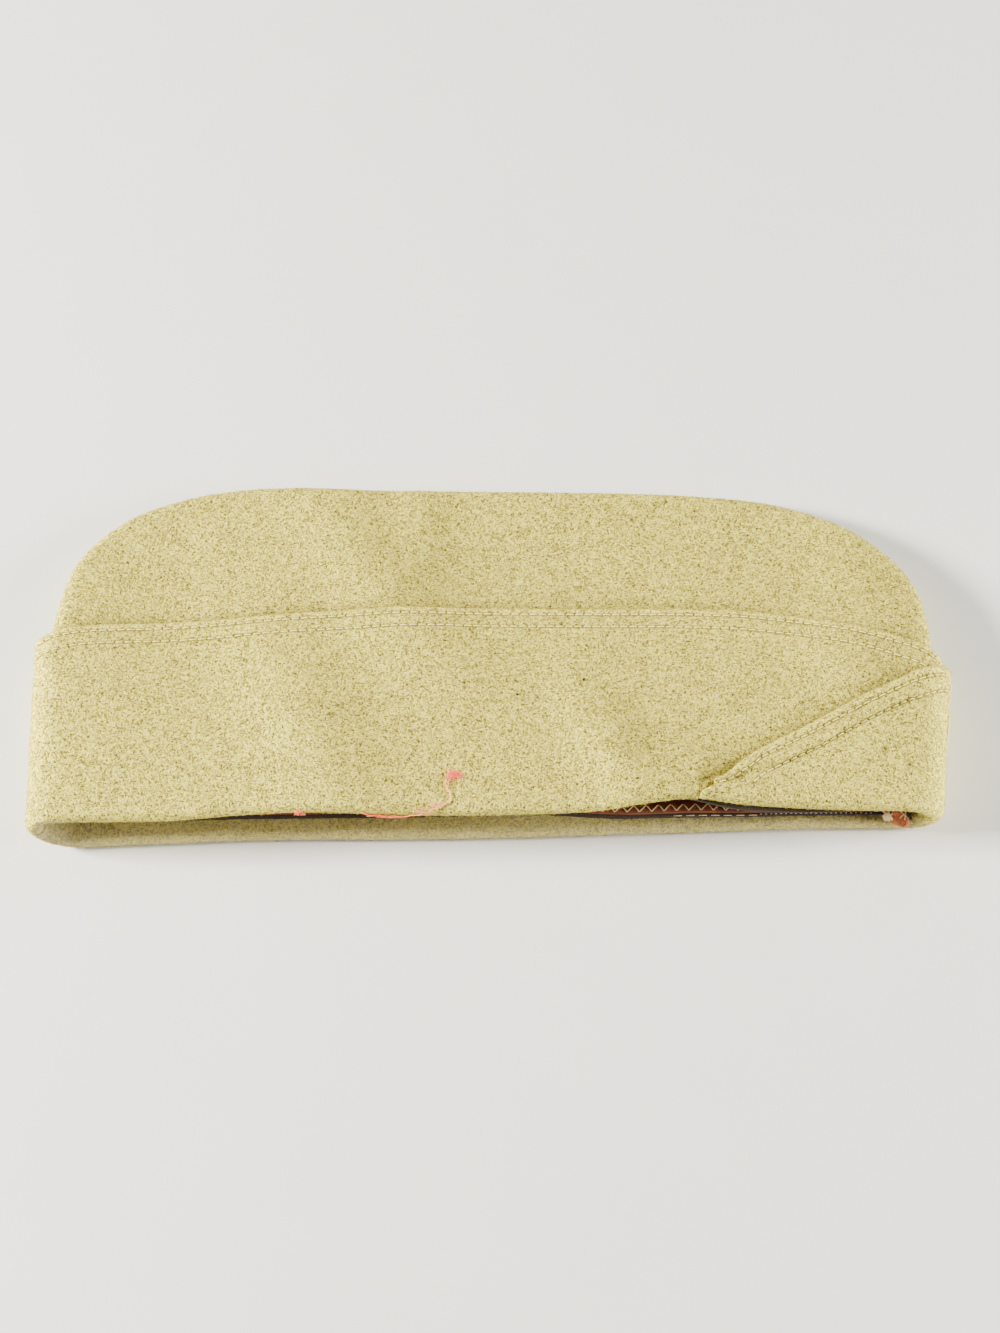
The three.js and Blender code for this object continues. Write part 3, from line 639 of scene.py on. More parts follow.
def tubes(lines, radii, sides=6):
    """Points and faces of round threads along lines of the same number of points."""
    lines = np.asarray(lines, float)
    count, steps = lines.shape[:2]
    radii = np.broadcast_to(radii, (count, steps))
    ahead = np.gradient(lines, axis=1)
    ahead /= np.linalg.norm(ahead, axis=-1, keepdims=True)
    across = np.cross(ahead, (0, 0, 1))
    across /= np.maximum(np.linalg.norm(across, axis=-1, keepdims=True), 1e-9)
    over = np.cross(across, ahead)
    angles = np.arange(sides) * 2 * math.pi / sides
    ring = across[:, :, None] * np.cos(angles)[:, None] + over[:, :, None] * np.sin(angles)[:, None]
    points = lines[:, :, None] + ring * radii[:, :, None, None]
    start = np.arange(count)[:, None, None] * steps * sides
    step = np.arange(steps - 1)[None, :, None] * sides
    corner = np.arange(sides)[None, None, :]
    turned = (corner + 1) % sides
    quads = np.stack([
        start + step + turned, start + step + corner,
        start + step + sides + corner, start + step + sides + turned,
    ], -1).reshape(-1, 4)
    near_ends = (start[:, 0] + np.arange(sides)[None]).tolist()
    far_ends = (start[:, 0] + (steps - 1) * sides + np.arange(sides)[None, ::-1]).tolist()
    return points.reshape(-1, 3), quads.tolist() + near_ends + far_ends


def thread_piece(name, bundles, finish, marks=None):
    """One object of several bundles of tubes."""
    points, faces, count = [], [], 0
    for some_points, some_faces in bundles:
        points.append(some_points)
        faces += [[corner + count for corner in face] for face in some_faces]
        count += len(some_points)
    return mesh_piece(name, np.concatenate(points), faces, finish, marks=marks)


def stitches(surface, counts, heights, pitch, length, thread, lift=0.0):
    """Stitches that lie end to end along a line on the cloth and dip into it at their needle holes."""
    line = surface(counts, heights, 0.0)
    run = np.concatenate([[0], np.cumsum(np.linalg.norm(np.diff(line, axis=0), axis=-1))])
    starts = np.arange(pitch / 2, run[-1] - length, pitch)
    share = np.array([0, 0.12, 0.5, 0.88, 1])
    places = starts[:, None] + share * length
    dip = np.array([-0.9, 0.1, 0.45, 0.1, -0.9]) * thread / 2 + lift
    points = surface(np.interp(places, run, counts), np.interp(places, run, heights), dip)
    return tubes(points, thread / 2 * np.array([0.55, 0.95, 1, 0.95, 0.55]))


class Wire:
    """A socket in a finish. Arithmetic on it adds the nodes that do it."""

    def __init__(self, finish, socket):
        self.finish = finish
        self.socket = socket

    def sum(self, operation, first, second=0.0, clamp=False):
        settings = {"operation": operation, "use_clamp": clamp}
        return self.finish.add("ShaderNodeMath", settings, {0: first, 1: second})

    def __add__(self, other):
        return self.sum("ADD", self, other)

    def __sub__(self, other):
        return self.sum("SUBTRACT", self, other)

    def __rsub__(self, other):
        return self.sum("SUBTRACT", other, self)

    def __mul__(self, other):
        return self.sum("MULTIPLY", self, other)

    def __abs__(self):
        return self.sum("ABSOLUTE", self)

    __radd__ = __add__
    __rmul__ = __mul__

    def kept(self):
        """The value, kept from 0 to 1."""
        return self.sum("ADD", self, clamp=True)

    def between(self, low, high):
        """0 below low, 1 above high and smooth between them."""
        settings = {"interpolation_type": "SMOOTHSTEP"}
        return self.finish.add("ShaderNodeMapRange", settings, {0: self, 1: low, 2: high})


class Finish:
    """A material and the nodes that make it."""

    def __init__(self, name):
        self.material = bpy.data.materials.new(name)
        self.material.use_nodes = True
        self.tree = self.material.node_tree
        self.tree.nodes.clear()

    def add(self, kind, settings=None, values=None, out=0):
        """A node with its settings, and the values or wires of its sockets."""
        node = self.tree.nodes.new(kind)
        for name, value in (settings or {}).items():
            setattr(node, name, value)
        for name, value in (values or {}).items():
            if isinstance(value, Wire):
                self.tree.links.new(value.socket, node.inputs[name])
            else:
                node.inputs[name].default_value = value
        return Wire(self, node.outputs[out]) if node.outputs else None

    def place(self):
        return self.add("ShaderNodeTexCoord", out="Object")

    def on_cloth(self):
        return self.add("ShaderNodeUVMap", {"uv_map": "cloth"})

    def mark(self, name):
        return self.add("ShaderNodeAttribute", {"attribute_name": name}, out="Fac")

    def moved(self, place, by=(0, 0, 0), scale=(1, 1, 1)):
        return self.add("ShaderNodeMapping", None, {"Vector": place, "Location": by, "Scale": scale})

    def noise(self, place, size, detail=2.0, rough=0.5, warp=0.0):
        values = {"Vector": place, "Scale": 1 / size, "Detail": detail, "Roughness": rough}
        return self.add("ShaderNodeTexNoise", None, {**values, "Distortion": warp})

    def mix(self, share, low, high, way="MIX"):
        """Colour between two colours, or in another way of mixing them."""
        settings = {"data_type": "RGBA", "blend_type": way}
        return self.add("ShaderNodeMix", settings, {0: share, 6: low, 7: high}, out=2)

    def tinted(self, shown, mark, none, full):
        """A colour, multiplied by a tint that goes from none to full with a mark."""
        tint = self.mix(self.mark(mark).kept(), colour(none), colour(full))
        return self.mix(1.0, shown, tint, "MULTIPLY")

    def bump(self, height, deep, strength=1.0):
        return self.add("ShaderNodeBump", None, {"Height": height, "Distance": deep, "Strength": strength})

    def close(self, shown, rough, specular, bump=None, **constants):
        """Ends the finish in one shader."""
        values = {"Base Color": shown, "Roughness": rough, "Specular IOR Level": specular, **constants}
        if bump is not None:
            values["Normal"] = bump
        shader = self.add("ShaderNodeBsdfPrincipled", None, values)
        self.add("ShaderNodeOutputMaterial", None, {"Surface": shader})
        return self.material

    def curls(self, place, size, thin, by):
        """Thin curling lines, as of single fibres that lie on the cloth."""
        noise = self.noise(self.moved(place, by=by), size, detail=0.5, warp=0.8)
        return (1 - abs(noise * 2 - 1) * thin).kept()


def colour(values, share=1.0):
    """A colour for a socket, dimmed to a share of its brightness."""
    return (*(value * share for value in values[:3]), 1.0)


def wool_finish(name, colours, sewn=False):
    """Milled wool: curled light and dark fibres over a mottled olive ground, with painted light and shade,
    greyed where marked, and painted shade in the grooves where it is sewn.
    """
    finish = Finish(name)
    place = finish.place()
    clouds = finish.noise(place, 14 * MM, detail=3)
    pale = colour(colours.wool_ground, 1.06)
    ground = finish.mix(clouds.between(0.3, 0.7), colour(colours.wool_ground, 0.9), pale)
    warm = finish.noise(finish.moved(place, by=(0.3, 0.1, 0)), 5 * MM, detail=2)
    ground = finish.mix(warm.between(0.55, 0.75) * 0.35, ground, colour(colours.wool_warm))
    light, more_light, dark = (finish.curls(place, **curl) for curl in WOOL_CURLS)
    light_fibres = (light + more_light * 0.7).kept()
    shown = finish.mix(dark, ground, colour(colours.wool_dark))
    shown = finish.mix(light_fibres * 0.95, shown, colour(colours.wool_light))
    # Painted light and shade: lighter on slopes that face the key light, on the turned ends and on the hem's
    # rolled edge
    shown = finish.tinted(shown, "painted_light_and_shade", PAINTED_SHADE_TINT, UNTINTED)
    # Painted shade beside edges, by the lap's tip and inside at the back
    shown = finish.tinted(shown, "shade", UNTINTED, SHADED)
    if sewn:
        # Greyed rim of the lower side, and painted shade inside at the back
        shown = finish.mix(finish.mark("greyed_and_shaded").kept() * 0.5, shown, colour(colours.wool_greyed))
        # Painted shade in the grooves of the stitches
        shown = finish.mix(finish.mark("sewn").kept() * 0.9, shown, colour(colours.wool_dark))
    fine = finish.noise(place, 0.45 * MM, detail=2)
    height = light_fibres * 0.6 - dark * 0.5 + fine * 0.4
    sheen = {"Sheen Weight": 0.12, "Sheen Roughness": 0.35, "Sheen Tint": colour(colours.wool_light)}
    return finish.close(shown, 0.95, 0.15, finish.bump(height, 0.35 * MM, 0.8), **sheen)


def tape_finish(colours):
    """Cotton tape: fine ribs across it."""
    finish = Finish("cotton tape")
    values = {"Vector": finish.on_cloth(), "Scale": 1 / (3.2 * MM), "Distortion": 0.6}
    ribs, rows = (finish.add("ShaderNodeTexWave", {"bands_direction": way}, values) for way in "XY")
    weave = ribs * rows
    dust = finish.noise(finish.place(), 2 * MM, detail=3)
    light = (weave * 0.6 + dust * 0.5).kept()
    shown = finish.mix(light, colour(colours.tape, 0.55), colour(colours.tape))
    return finish.close(shown, 0.9, 0.2, finish.bump(weave, 0.15 * MM))


def leather_finish(colours):
    """Thin sweatband leather: a fine grain, darker in its creases and where it was handled."""
    finish = Finish("sweatband leather")
    place = finish.place()
    values = {"Vector": place, "Scale": 1 / (1.1 * MM)}
    cells = finish.add("ShaderNodeTexVoronoi", {"feature": "DISTANCE_TO_EDGE"}, values)
    creases = 1 - cells.between(0.0, 0.12)
    stain = finish.noise(place, 9 * MM, detail=4)
    shown = finish.mix(stain.between(0.3, 0.7), colour(colours.leather, 0.6), colour(colours.leather))
    shown = finish.mix(creases * 0.5, shown, colour(colours.leather, 0.35))
    return finish.close(shown, 0.42 + stain * 0.2, 0.4, finish.bump(1 - creases, 0.12 * MM))


def raw_leather_finish(colours):
    """The flesh side of the leather, undyed and a little hairy."""
    finish = Finish("raw leather")
    place = finish.moved(finish.place(), scale=(1, 3, 1))
    nap = finish.noise(place, 0.7 * MM, detail=4, rough=0.7)
    light = nap.between(0.35, 0.7)
    shown = finish.mix(light, colour(colours.raw_leather, 0.6), colour(colours.raw_leather))
    return finish.close(shown, 0.85, 0.2, finish.bump(nap, 0.2 * MM))


def thread_finish(name, base, dark=0.65):
    """Twisted thread: fine bands of light and dark."""
    finish = Finish(name)
    twist = finish.noise(finish.place(), 0.3 * MM, detail=1)
    shown = finish.mix(twist.between(0.35, 0.65), colour(base, dark), colour(base))
    return finish.close(shown, 0.8, 0.25, finish.bump(twist, 0.06 * MM))


def loose_thread_finish(colours):
    """Faded coral thread."""
    finish = Finish("coral thread")
    shown = finish.mix(finish.mark("red"), colour(colours.faded_coral), colour(colours.coral))
    return finish.close(shown, 0.85, 0.2)


def fibre_finish(colours):
    """Single wool fibres, each of its own tone."""
    finish = Finish("wool fibres")
    tone = finish.mark("tone")
    shown = finish.mix(tone.between(0.0, 0.45), colour(colours.wool_dark), colour(colours.wool_ground))
    shown = finish.mix(tone.between(0.45, 1.0), shown, colour(colours.wool_light))
    return finish.close(shown, 0.9, 0.15)


def floor_finish(stage):
    """Pale paper, a very little mottled."""
    finish = Finish("floor paper")
    grain = finish.noise(finish.place(), 30 * MM, detail=4).between(0.3, 0.7)
    shown = finish.mix(grain, colour(stage.floor_colour, 0.985), colour(stage.floor_colour))
    return finish.close(shown, 0.9, 0.1)


def length_setting(name, description, millimetres):
    """A size that a user can set."""
    return FloatProperty(name=name, description=description, default=millimetres * MM, unit="LENGTH")


def colour_setting(name, description, default):
    """A colour that a user can set."""
    return FloatVectorProperty(name=name, description=description, default=default, subtype="COLOR")


class CAP_PG_stitching(bpy.types.PropertyGroup):
    """Sizes of the stitches and threads."""
    pitch: length_setting("Stitch pitch", "From one stitch to the next", 2.9)
    length: length_setting("Stitch length", "Of the thread that shows", 2.3)
    thread: length_setting("Thread", "Thickness of the sewing thread", 0.42)
    first_row: length_setting("First row", "Upper row of stitches, below the curtain's edge", 2.6)
    second_row: length_setting("Second row", "Lower row of stitches, below the edge", 7.4)
    lap_first_row: length_setting("First row of the lap", "Outer row on the lap", 3.4)
    lap_second_row: length_setting("Second row of the lap", "Inner row on the lap", 8.6)
    groove: length_setting("Groove", "How deep a row of stitches pulls the cloth in", 0.5)
    zigzag_pitch: length_setting("Zigzag pitch", "Tooth to tooth", 3.9)
    zigzag_height: length_setting("Zigzag height", "Across the sweatband", 2.3)
    zigzag_thread: length_setting("Zigzag thread", "Thickness of the zigzag's thread", 0.34)
    loose_thread: length_setting("Loose thread", "Thickness of the coral-red thread", 0.36)
    tape_pitch: length_setting("Tape stitches", "Pitch of the running stitches of the tape", 3.9)


class CAP_PG_fibres(bpy.types.PropertyGroup):
    """The nap of the wool."""
    amount: IntProperty(name="Fibres", description="Fibres on each piece of cloth", default=24000)
    length: length_setting("Fibre length", "Of most fibres", 1.7)
    thickness: length_setting("Fibre thickness", "In its middle", 0.1)
    seed: IntProperty(name="Seed", description="Another number lays the fibres another way", default=7)


class CAP_PG_colours(bpy.types.PropertyGroup):
    """Colours of the cloth, leather and threads."""
    wool_ground: colour_setting("Wool", "Ground of the cloth", (0.29, 0.215, 0.026))
    wool_light: colour_setting("Light fibres", "Cream fibres of the cloth", (1.0, 0.88, 0.16))
    wool_dark: colour_setting("Dark fibres", "Olive-brown fibres", (0.055, 0.042, 0.01))
    wool_warm: colour_setting("Warm specks", "Rusty specks of the cloth", (0.5, 0.31, 0.09))
    # Grey mixed into the lower side's rim, and as painted shade into the inside at the back
    wool_greyed: colour_setting("Dusty wool", "Greyed rim of the lower side", (0.5, 0.43, 0.27))
    tape: colour_setting("Tape", "Cotton tape", (0.095, 0.068, 0.054))
    leather: colour_setting("Leather", "Sweatband", (0.3, 0.085, 0.03))
    raw_leather: colour_setting("Raw leather", "Flesh side of the leather", (0.72, 0.22, 0.09))
    sewing: colour_setting("Sewing thread", "Thread of the topstitching", (1.0, 0.85, 0.24))
    cream: colour_setting("Cream thread", "Zigzag and tape stitches", (1.0, 0.8, 0.4))
    coral: colour_setting("Loose thread", "Coral-red thread", (1.0, 0.09, 0.06))
    faded_coral: colour_setting("Faded thread", "Faded part of the loose thread", (0.95, 0.47, 0.2))
    pink: colour_setting("Pink fibres", "At the raw end", (0.7, 0.4, 0.3))
    lint: colour_setting("Dark lint", "Dark specks", (0.03, 0.02, 0.015))


class CAP_PG_stage(bpy.types.PropertyGroup):
    """Light, floor and camera."""
    floor_colour: colour_setting("Floor", "Colour of the floor", (0.8, 0.79, 0.77))
    floor_size: length_setting("Floor size", "Edge of the floor", 6000)
    key_power: FloatProperty(name="Key light", description="Watts of the soft box at the left", default=96)
    fill_power: FloatProperty(name="Fill light", description="Watts of the soft box at the right", default=46)
    sky: FloatProperty(name="Sky", description="Strength of the light from all round", default=0.3)
    elevation: FloatProperty(
        name="Elevation", description="Of the camera above the table", default=math.radians(62),
        subtype="ANGLE")
    distance: length_setting("Distance", "Camera to cap", 1500)
    target: FloatVectorProperty(
        name="Target", description="Point in the middle of the picture",
        default=(2.86 * MM, -2.98 * MM, 8 * MM), unit="LENGTH")
    lens: FloatProperty(name="Lens", description="Focal length in millimetres, 36 mm frame", default=170.6)


def curtain_columns(right):
    """Stations of a curtain, from the back seam to the end of its tail or its lap."""
    seam = CLEARANCE / (MOUTH_THICKNESS / 2) * (TURN / QUARTER)
    flat = int(GIRTH_LENGTHS[-1] / 2 / COLUMN)
    if right:
        runs = (
            (seam, TURN, TURN_COLUMNS),
            (TURN, CUT_STATION, int(flat * (CUT_STATION - TURN) / FLAT)),
            (CUT_STATION, HALF - TURN, int(flat * (HALF - TURN - CUT_STATION) / FLAT)),
            (HALF - TURN, HALF, TURN_COLUMNS),
            (HALF, HALF + TURN * FRONT_TAIL / 90, TURN_COLUMNS // 3),
        )
    else:
        runs = (
            (AROUND - seam, AROUND - TURN, TURN_COLUMNS),
            (AROUND - TURN, HALF + TURN, flat),
            (HALF + TURN, HALF - TURN, 4 * TURN_COLUMNS),
            (HALF - TURN, TIP_STATION, int(flat * (HALF - TURN - TIP_STATION) / FLAT)),
        )
    parts = [np.linspace(start, end, steps, endpoint=False) for start, end, steps in runs]
    return np.concatenate([*parts, [runs[-1][1]]])


class Curtain:
    """One of the two curtains: its inner leg, rim fold and outer leg."""

    def __init__(self, right, stitching):
        self.right = right
        self.stitching = stitching
        self.top_of = right_top if right else left_top
        self.leg_of = outer_leg if right else lapped_leg

    def fold_of(self, count):
        """Inner radius of the rim fold, and the height of its top."""
        spread = self.leg_of(count, 0.0, CURTAIN_HEIGHT, 0.0)[0] - LEG_INSIDE
        return spread / 2, spread / 2 + WOOL

    def depth_of(self, count, y):
        """Distance from the curtain's edge."""
        return (self.top_of(count) - y) / edge_slope(count, self.top_of)

    def stitch_depths(self, count):
        """Distances of the two rows of stitches from the edge. On the lap they lie further in."""
        lap = 0.0 if self.right else 1 - smoothstep(count, *LAP_ROWS)
        first = lerp(self.stitching.first_row, self.stitching.lap_first_row, lap)
        second = lerp(self.stitching.second_row, self.stitching.lap_second_row, lap)
        return first, second

    def relief(self, count, y):
        """How far the rows of stitches pull the cloth in, and how it puffs between them."""
        depth = self.depth_of(count, y)
        first, second = self.stitch_depths(count)
        pull = sum(np.exp(-((depth - row) / GROOVE_WIDTH) ** 2) for row in (first, second))
        puff = np.exp(-((depth - (first + second) / 2) / PUFF_WIDTH) ** 2) * PUFF
        roll = np.exp(-((depth - first * ROLL_AT) / (first * ROLL_WIDTH)) ** 2) * ROLL
        fade = smoothstep(self.top_of(count) - self.fold_of(count)[1], *RELIEF_FADE)
        return self.stitching.groove * (puff + roll - pull) * fade

    def surface(self, count, y, lift=0.0):
        """Point lifted off the outer leg's outer face."""
        count, y, lift = np.broadcast_arrays(np.asarray(count, float), y, lift)
        outside = self.leg_of(count, y, self.top_of(count), self.fold_of(count)[1])[1]
        return girth_point(count, y, outside + self.relief(count, y) + lift)

    def inner_rows(self, count):
        """Rows up the turned-in leg and round the rim fold: height and offset of the cloth's outer face,
        the same of its inner face, and the height that counts for the lap's slanted cut."""
        radius, fold = self.fold_of(count)
        leg_top = tape_foot(count) + TAPE_COVER
        middle = LEG_INSIDE + radius
        reach = radius + WOOL
        rows = []
        for share in np.linspace(1, 0.1, INNER_ROWS):
            y = lerp(fold, leg_top, share)
            rows.append((y, LEG_INSIDE - WOOL, y, LEG_INSIDE, 0 * y))
        for angle in np.linspace(0, math.pi, FOLD_ROWS + 1):
            up = fold - reach * math.sin(angle)
            inner_up = fold - radius * math.sin(angle)
            outer, inner = (middle - r * math.cos(angle) for r in (reach, radius))
            rows.append((up, outer, inner_up, inner, up * (angle > QUARTER)))
        return rows

    def outer_rows(self, count):
        """Rows up the outer leg and over the hem's rounded edge, in the same form. The third row is level
        with the top of the strip under the lap."""
        top = self.top_of(count)
        fold = self.fold_of(count)[1]
        hem = hem_width(top, fold) * (1 + HEM_EASE)
        start = np.minimum(STRIP_FOOT, lerp(fold, top, TIP_START))
        shoulder = np.minimum(HEM_THICKNESS / 2, hem / 3)
        leg_rows = int((CURTAIN_HEIGHT - STRIP_FOOT - HEM_WIDTH) / ROW)
        hem_rows = int(HEM_WIDTH / HEM_ROW)
        heights = [lerp(fold, start, share) for share in (0.33, 0.67, 1)]
        heights += [lerp(start, top - hem, k / leg_rows) for k in range(1, leg_rows + 1)]
        heights += [lerp(top - hem, top - shoulder, k / hem_rows) for k in range(1, hem_rows + 1)]
        rows = []
        for y in heights:
            inside, outside = self.leg_of(count, y, top, fold)
            rows.append((y, outside + self.relief(count, y), y, inside, y))
        for k in range(1, EDGE_ROWS + 1):
            angle = k / (EDGE_ROWS + 0.4) * QUARTER
            y = top - shoulder * (1 - math.sin(angle))
            inside, outside = self.leg_of(count, y, top, fold)
            centre = (inside + outside) / 2
            half = (outside - inside) / 2 * math.cos(angle)
            rows.append((y, centre + half, y, centre - half, y))
        return rows

    def marks(self, count, counts, y, offset, outside):
        """Shares for the finish: painted shade in the grooves where the cloth is sewn, painted light and
        shade, painted shade beside edges and inside at the back, and where it is greyed. count holds the
        columns' stations, and counts those of the points, which the slanted cut moves."""
        depth = self.depth_of(counts, y)
        # Painted shade in the stitch grooves; the same mark keeps the nap off them
        sewn = sum(np.exp(-((depth - row) / SEWN_WIDTH) ** 2) for row in self.stitch_depths(counts))
        _, x, turn, _ = station(counts, y)
        depth = (self.top_of(count) - y) / edge_slope(counts, self.top_of)
        first = self.stitching.first_row
        # Painted light on the hem's rolled edge
        painted_hem_light = smoothstep(depth, first * 1.1, first * 0.6) * outside
        # Painted shade inside at the back, where the cloth turns in
        radius = self.fold_of(count)[0]
        inward = 1 - smoothstep((offset - LEG_INSIDE - radius) / (radius + WOOL), -0.1, 0.6)
        from_back = np.minimum(counts, AROUND - counts)
        back_inside = inward * (1 - smoothstep(from_back, TURN * 0.6, TURN * 1.5))
        shade = BACK_SHADE * back_inside
        # Painted shade on the right curtain beside the lap's edge, darkest at the lap's tip
        if self.right:
            below_lap = (left_top(counts) - y) / edge_slope(counts, left_top)
            near_tip = np.exp(-np.maximum(counts - TIP_STATION, 0) / TIP_SHADE_REACH)
            lapped = (counts > TIP_STATION - 0.1) * (counts < HALF) * outside
            shade = shade + beside(below_lap) * (LAP_SHADE + LAP_SHADE_AT_TIP * near_tip) * lapped
        # Greyed rim of the lower side; inside at the back this adds to the painted shade
        greyed_and_shaded = np.maximum(smoothstep(counts, HALF + 1, HALF + 3), back_inside)
        return {
            "sewn": sewn * outside,
            "painted_light_and_shade": np.clip(painted_light_and_shade(counts, x, y, turn) + 0.5 * painted_hem_light, 0, 1),
            "shade": shade,
            "greyed_and_shaded": greyed_and_shaded * smoothstep(y, *GREYED_UP),
        }

    def build(self, name, finish):
        count = curtain_columns(self.right)[:, None]
        rows = self.inner_rows(count)
        strip_row = len(rows) + 2
        rows += self.outer_rows(count)
        y, offset, inner_y, inner_offset, up = (
            np.concatenate([np.broadcast_to(row[k], count.shape) for row in rows], 1) for k in range(5))
        counts = count + tip_slant(np.broadcast_to(count, y.shape), up)
        keep = np.ones((len(count) - 1, len(rows) - 1), bool)
        if self.right:
            keep[count[:-1, 0] >= CUT_STATION - 1e-9, :strip_row] = False
        marks = self.marks(count, counts, y, offset, np.arange(len(rows)) >= strip_row)
        outer = girth_point(counts, y, offset)
        inner = girth_point(counts, inner_y, inner_offset)
        cloth = np.stack([girth_length(counts), y], -1)
        return sheet_piece(name, outer, inner, finish, cloth, keep, marks=marks)

    def cut(self):
        """Places along the flat cloth, and its width there from the raw edge inside to the hem's edge."""
        count = curtain_columns(self.right)
        radius, fold = self.fold_of(count)
        inside = tape_foot(count) + TAPE_COVER - fold
        if self.right:
            inside = np.where(count < TIP_STATION, inside, -math.pi * (radius + WOOL / 2))
        return girth_length(count), self.top_of(count) - fold + inside + math.pi * (radius + WOOL / 2)

    def stitch_rows(self, start, end):
        """Both rows of topstitching from one station to another."""
        counts = np.linspace(start, end, LINE_STEPS)
        sewing = self.stitching
        bundles = []
        for row in self.stitch_depths(counts):
            heights = self.top_of(counts) - row * edge_slope(counts, self.top_of)
            shown = heights > self.fold_of(counts)[1] + 0.5 * MM
            bundles.append(stitches(
                self.surface, counts[shown], heights[shown],
                sewing.pitch, sewing.length, sewing.thread, sewing.groove * STITCH_RAISED,
            ))
        return bundles


def crown_piece(side, name, finish):
    """Half of the crown: rows along the seam where the cloth turns, then rows down to the rim."""
    columns = int(GIRTH_LENGTHS[-1] / 2 / COLUMN) + MORE_CROWN_COLUMNS
    step = 1e-4
    share = np.linspace(0, 1, columns)[:, None]
    seam = seam_at(share[:, 0])
    ahead = seam_at(share[:, 0] + step) - seam_at(share[:, 0] - step)
    ahead /= np.linalg.norm(ahead, axis=-1, keepdims=True)
    straight = np.stack([np.where(share[:, 0] < 0.5, -1.0, 1.0), 0 * share[:, 0]], -1)
    leaving = smoothstep(seam[:, 1], CROWN_FOOT, CROWN_HEIGHT * END_STRAIGHT)[:, None]
    out = lerp(straight, np.stack([-ahead[:, 1], ahead[:, 0]], -1), leaving)
    out /= np.linalg.norm(out, axis=-1, keepdims=True)
    out_x, out_y = out[:, :1], out[:, 1:]
    x0, y0 = seam[:, :1], seam[:, 1:]
    turn = np.linspace(0, QUARTER, TURN_COLUMNS + 1)[None]
    depth = turn_radius(y0) * (1 - np.cos(turn))
    ring_x, ring_y = x0 - out_x * depth, y0 - out_y * depth
    radius = turn_radius(CROWN_FOOT)
    foot = lerp(end_x(False, CROWN_FOOT) + radius, end_x(True, CROWN_FOOT) - radius, share)
    fan = np.linspace(0, 1, int(CROWN_HEIGHT / CROWN_ROW) + 1)[None, 1:]
    x = np.concatenate([ring_x, lerp(ring_x[:, -1:], foot, fan)], 1)
    y = np.concatenate([ring_y, lerp(ring_y[:, -1:], CROWN_FOOT, fan)], 1)
    turns = np.broadcast_to(np.concatenate([turn, np.full(fan.shape, QUARTER)], 1), x.shape)
    turning = turns < QUARTER
    away = (np.where(turning, out_x, 0.0), np.where(turning, out_y, 1.0))
    roll = (1 - smoothstep(turns, 0, 0.5)) * SEAM_ROLL

    def face(offset):
        return lie(skin_point(float(side), x, y, turns, away, offset, CLEARANCE / 2, level=False))
    count = station_at(share_of(x)) if side > 0 else AROUND - station_at(share_of(x))
    edge = CURTAIN_HEIGHT * follow(CURTAIN_EDGE, "along", "up", np.clip(share_of(x), 0, 1))
    # Painted light and shade, and painted shade on the crown just above the curtain's edge
    marks = {
        "painted_light_and_shade": painted_light_and_shade(count, x, y, turns),
        "shade": CROWN_SHADE * beside(edge - y, 1.4 * EDGE_SHADE) * (turns > 0),
    }
    cloth = np.stack([x, y], -1)
    return sheet_piece(name, face(-roll), face(-roll - WOOL), finish, cloth, marks=marks)


def band_sag(count, y):
    """How far the upper side of the band hangs away from the rim where the mouth stands open."""
    side, x, turn, _ = station(count, y)
    reach = (share_of(x) - SAG_AT) / SAG_REACH
    low = 1 - smoothstep(y, CURTAIN_HEIGHT * SAG_FOOT, CURTAIN_HEIGHT * SAG_TOP)
    return np.where(side > 0, -BAND_SAG * np.exp(-reach**2) * low * np.sin(turn), 0)


class Band:
    """The tape or the leather inside the cap, a closed ring."""

    def __init__(self, thickness, low, high, on_leg, on_crown):
        self.thickness = thickness
        self.low = low
        self.high = high
        self.on_leg = on_leg
        self.on_crown = on_crown

    def offset(self, count, y):
        """Offset of the face that lies on the cloth."""
        leg_top = tape_foot(count) + TAPE_COVER
        past = np.clip((y - leg_top - CLEARANCE) / (2 * LAYER - CLEARANCE), 0, 1)
        return lerp(self.on_leg, self.on_crown, past) + band_sag(count, y)

    def surface(self, count, y, lift=0.0):
        """Point of the face that the head touches, lifted off it."""
        count, y, lift = np.broadcast_arrays(np.asarray(count, float), y, lift)
        return girth_point(count, y, self.offset(count, y) - self.thickness - lift)

    def build(self, name, slot, finish, rows, slip=0.0):
        columns = 2 * int(GIRTH_LENGTHS[-1] / 2 / COLUMN)
        count = np.linspace(0, AROUND, columns, endpoint=False)[:, None]
        row = np.linspace(0, 1, rows)[None]
        y = tape_foot(count) + lerp(self.low, self.high, row) - slip * tape_slip(count)
        counts = np.broadcast_to(count, y.shape)
        offset = self.offset(counts, y)
        outer = girth_point(counts, y, offset)
        inner = girth_point(counts, y, offset - self.thickness)
        cloth = np.stack([girth_length(counts), y], -1)
        return sheet_piece(name, inner, outer, finish, cloth, ring=True)


TAPE_BAND = Band(TAPE, 0.0, TAPE_WIDTH, TAPE_ON_LEG, TAPE_ON_CROWN)
LEATHER_BAND = Band(LEATHER, TAPE_SHOWS, TAPE_SHOWS + SWEATBAND_HEIGHT, LEATHER_ON_TAPE, LEATHER_ON_CROWN)


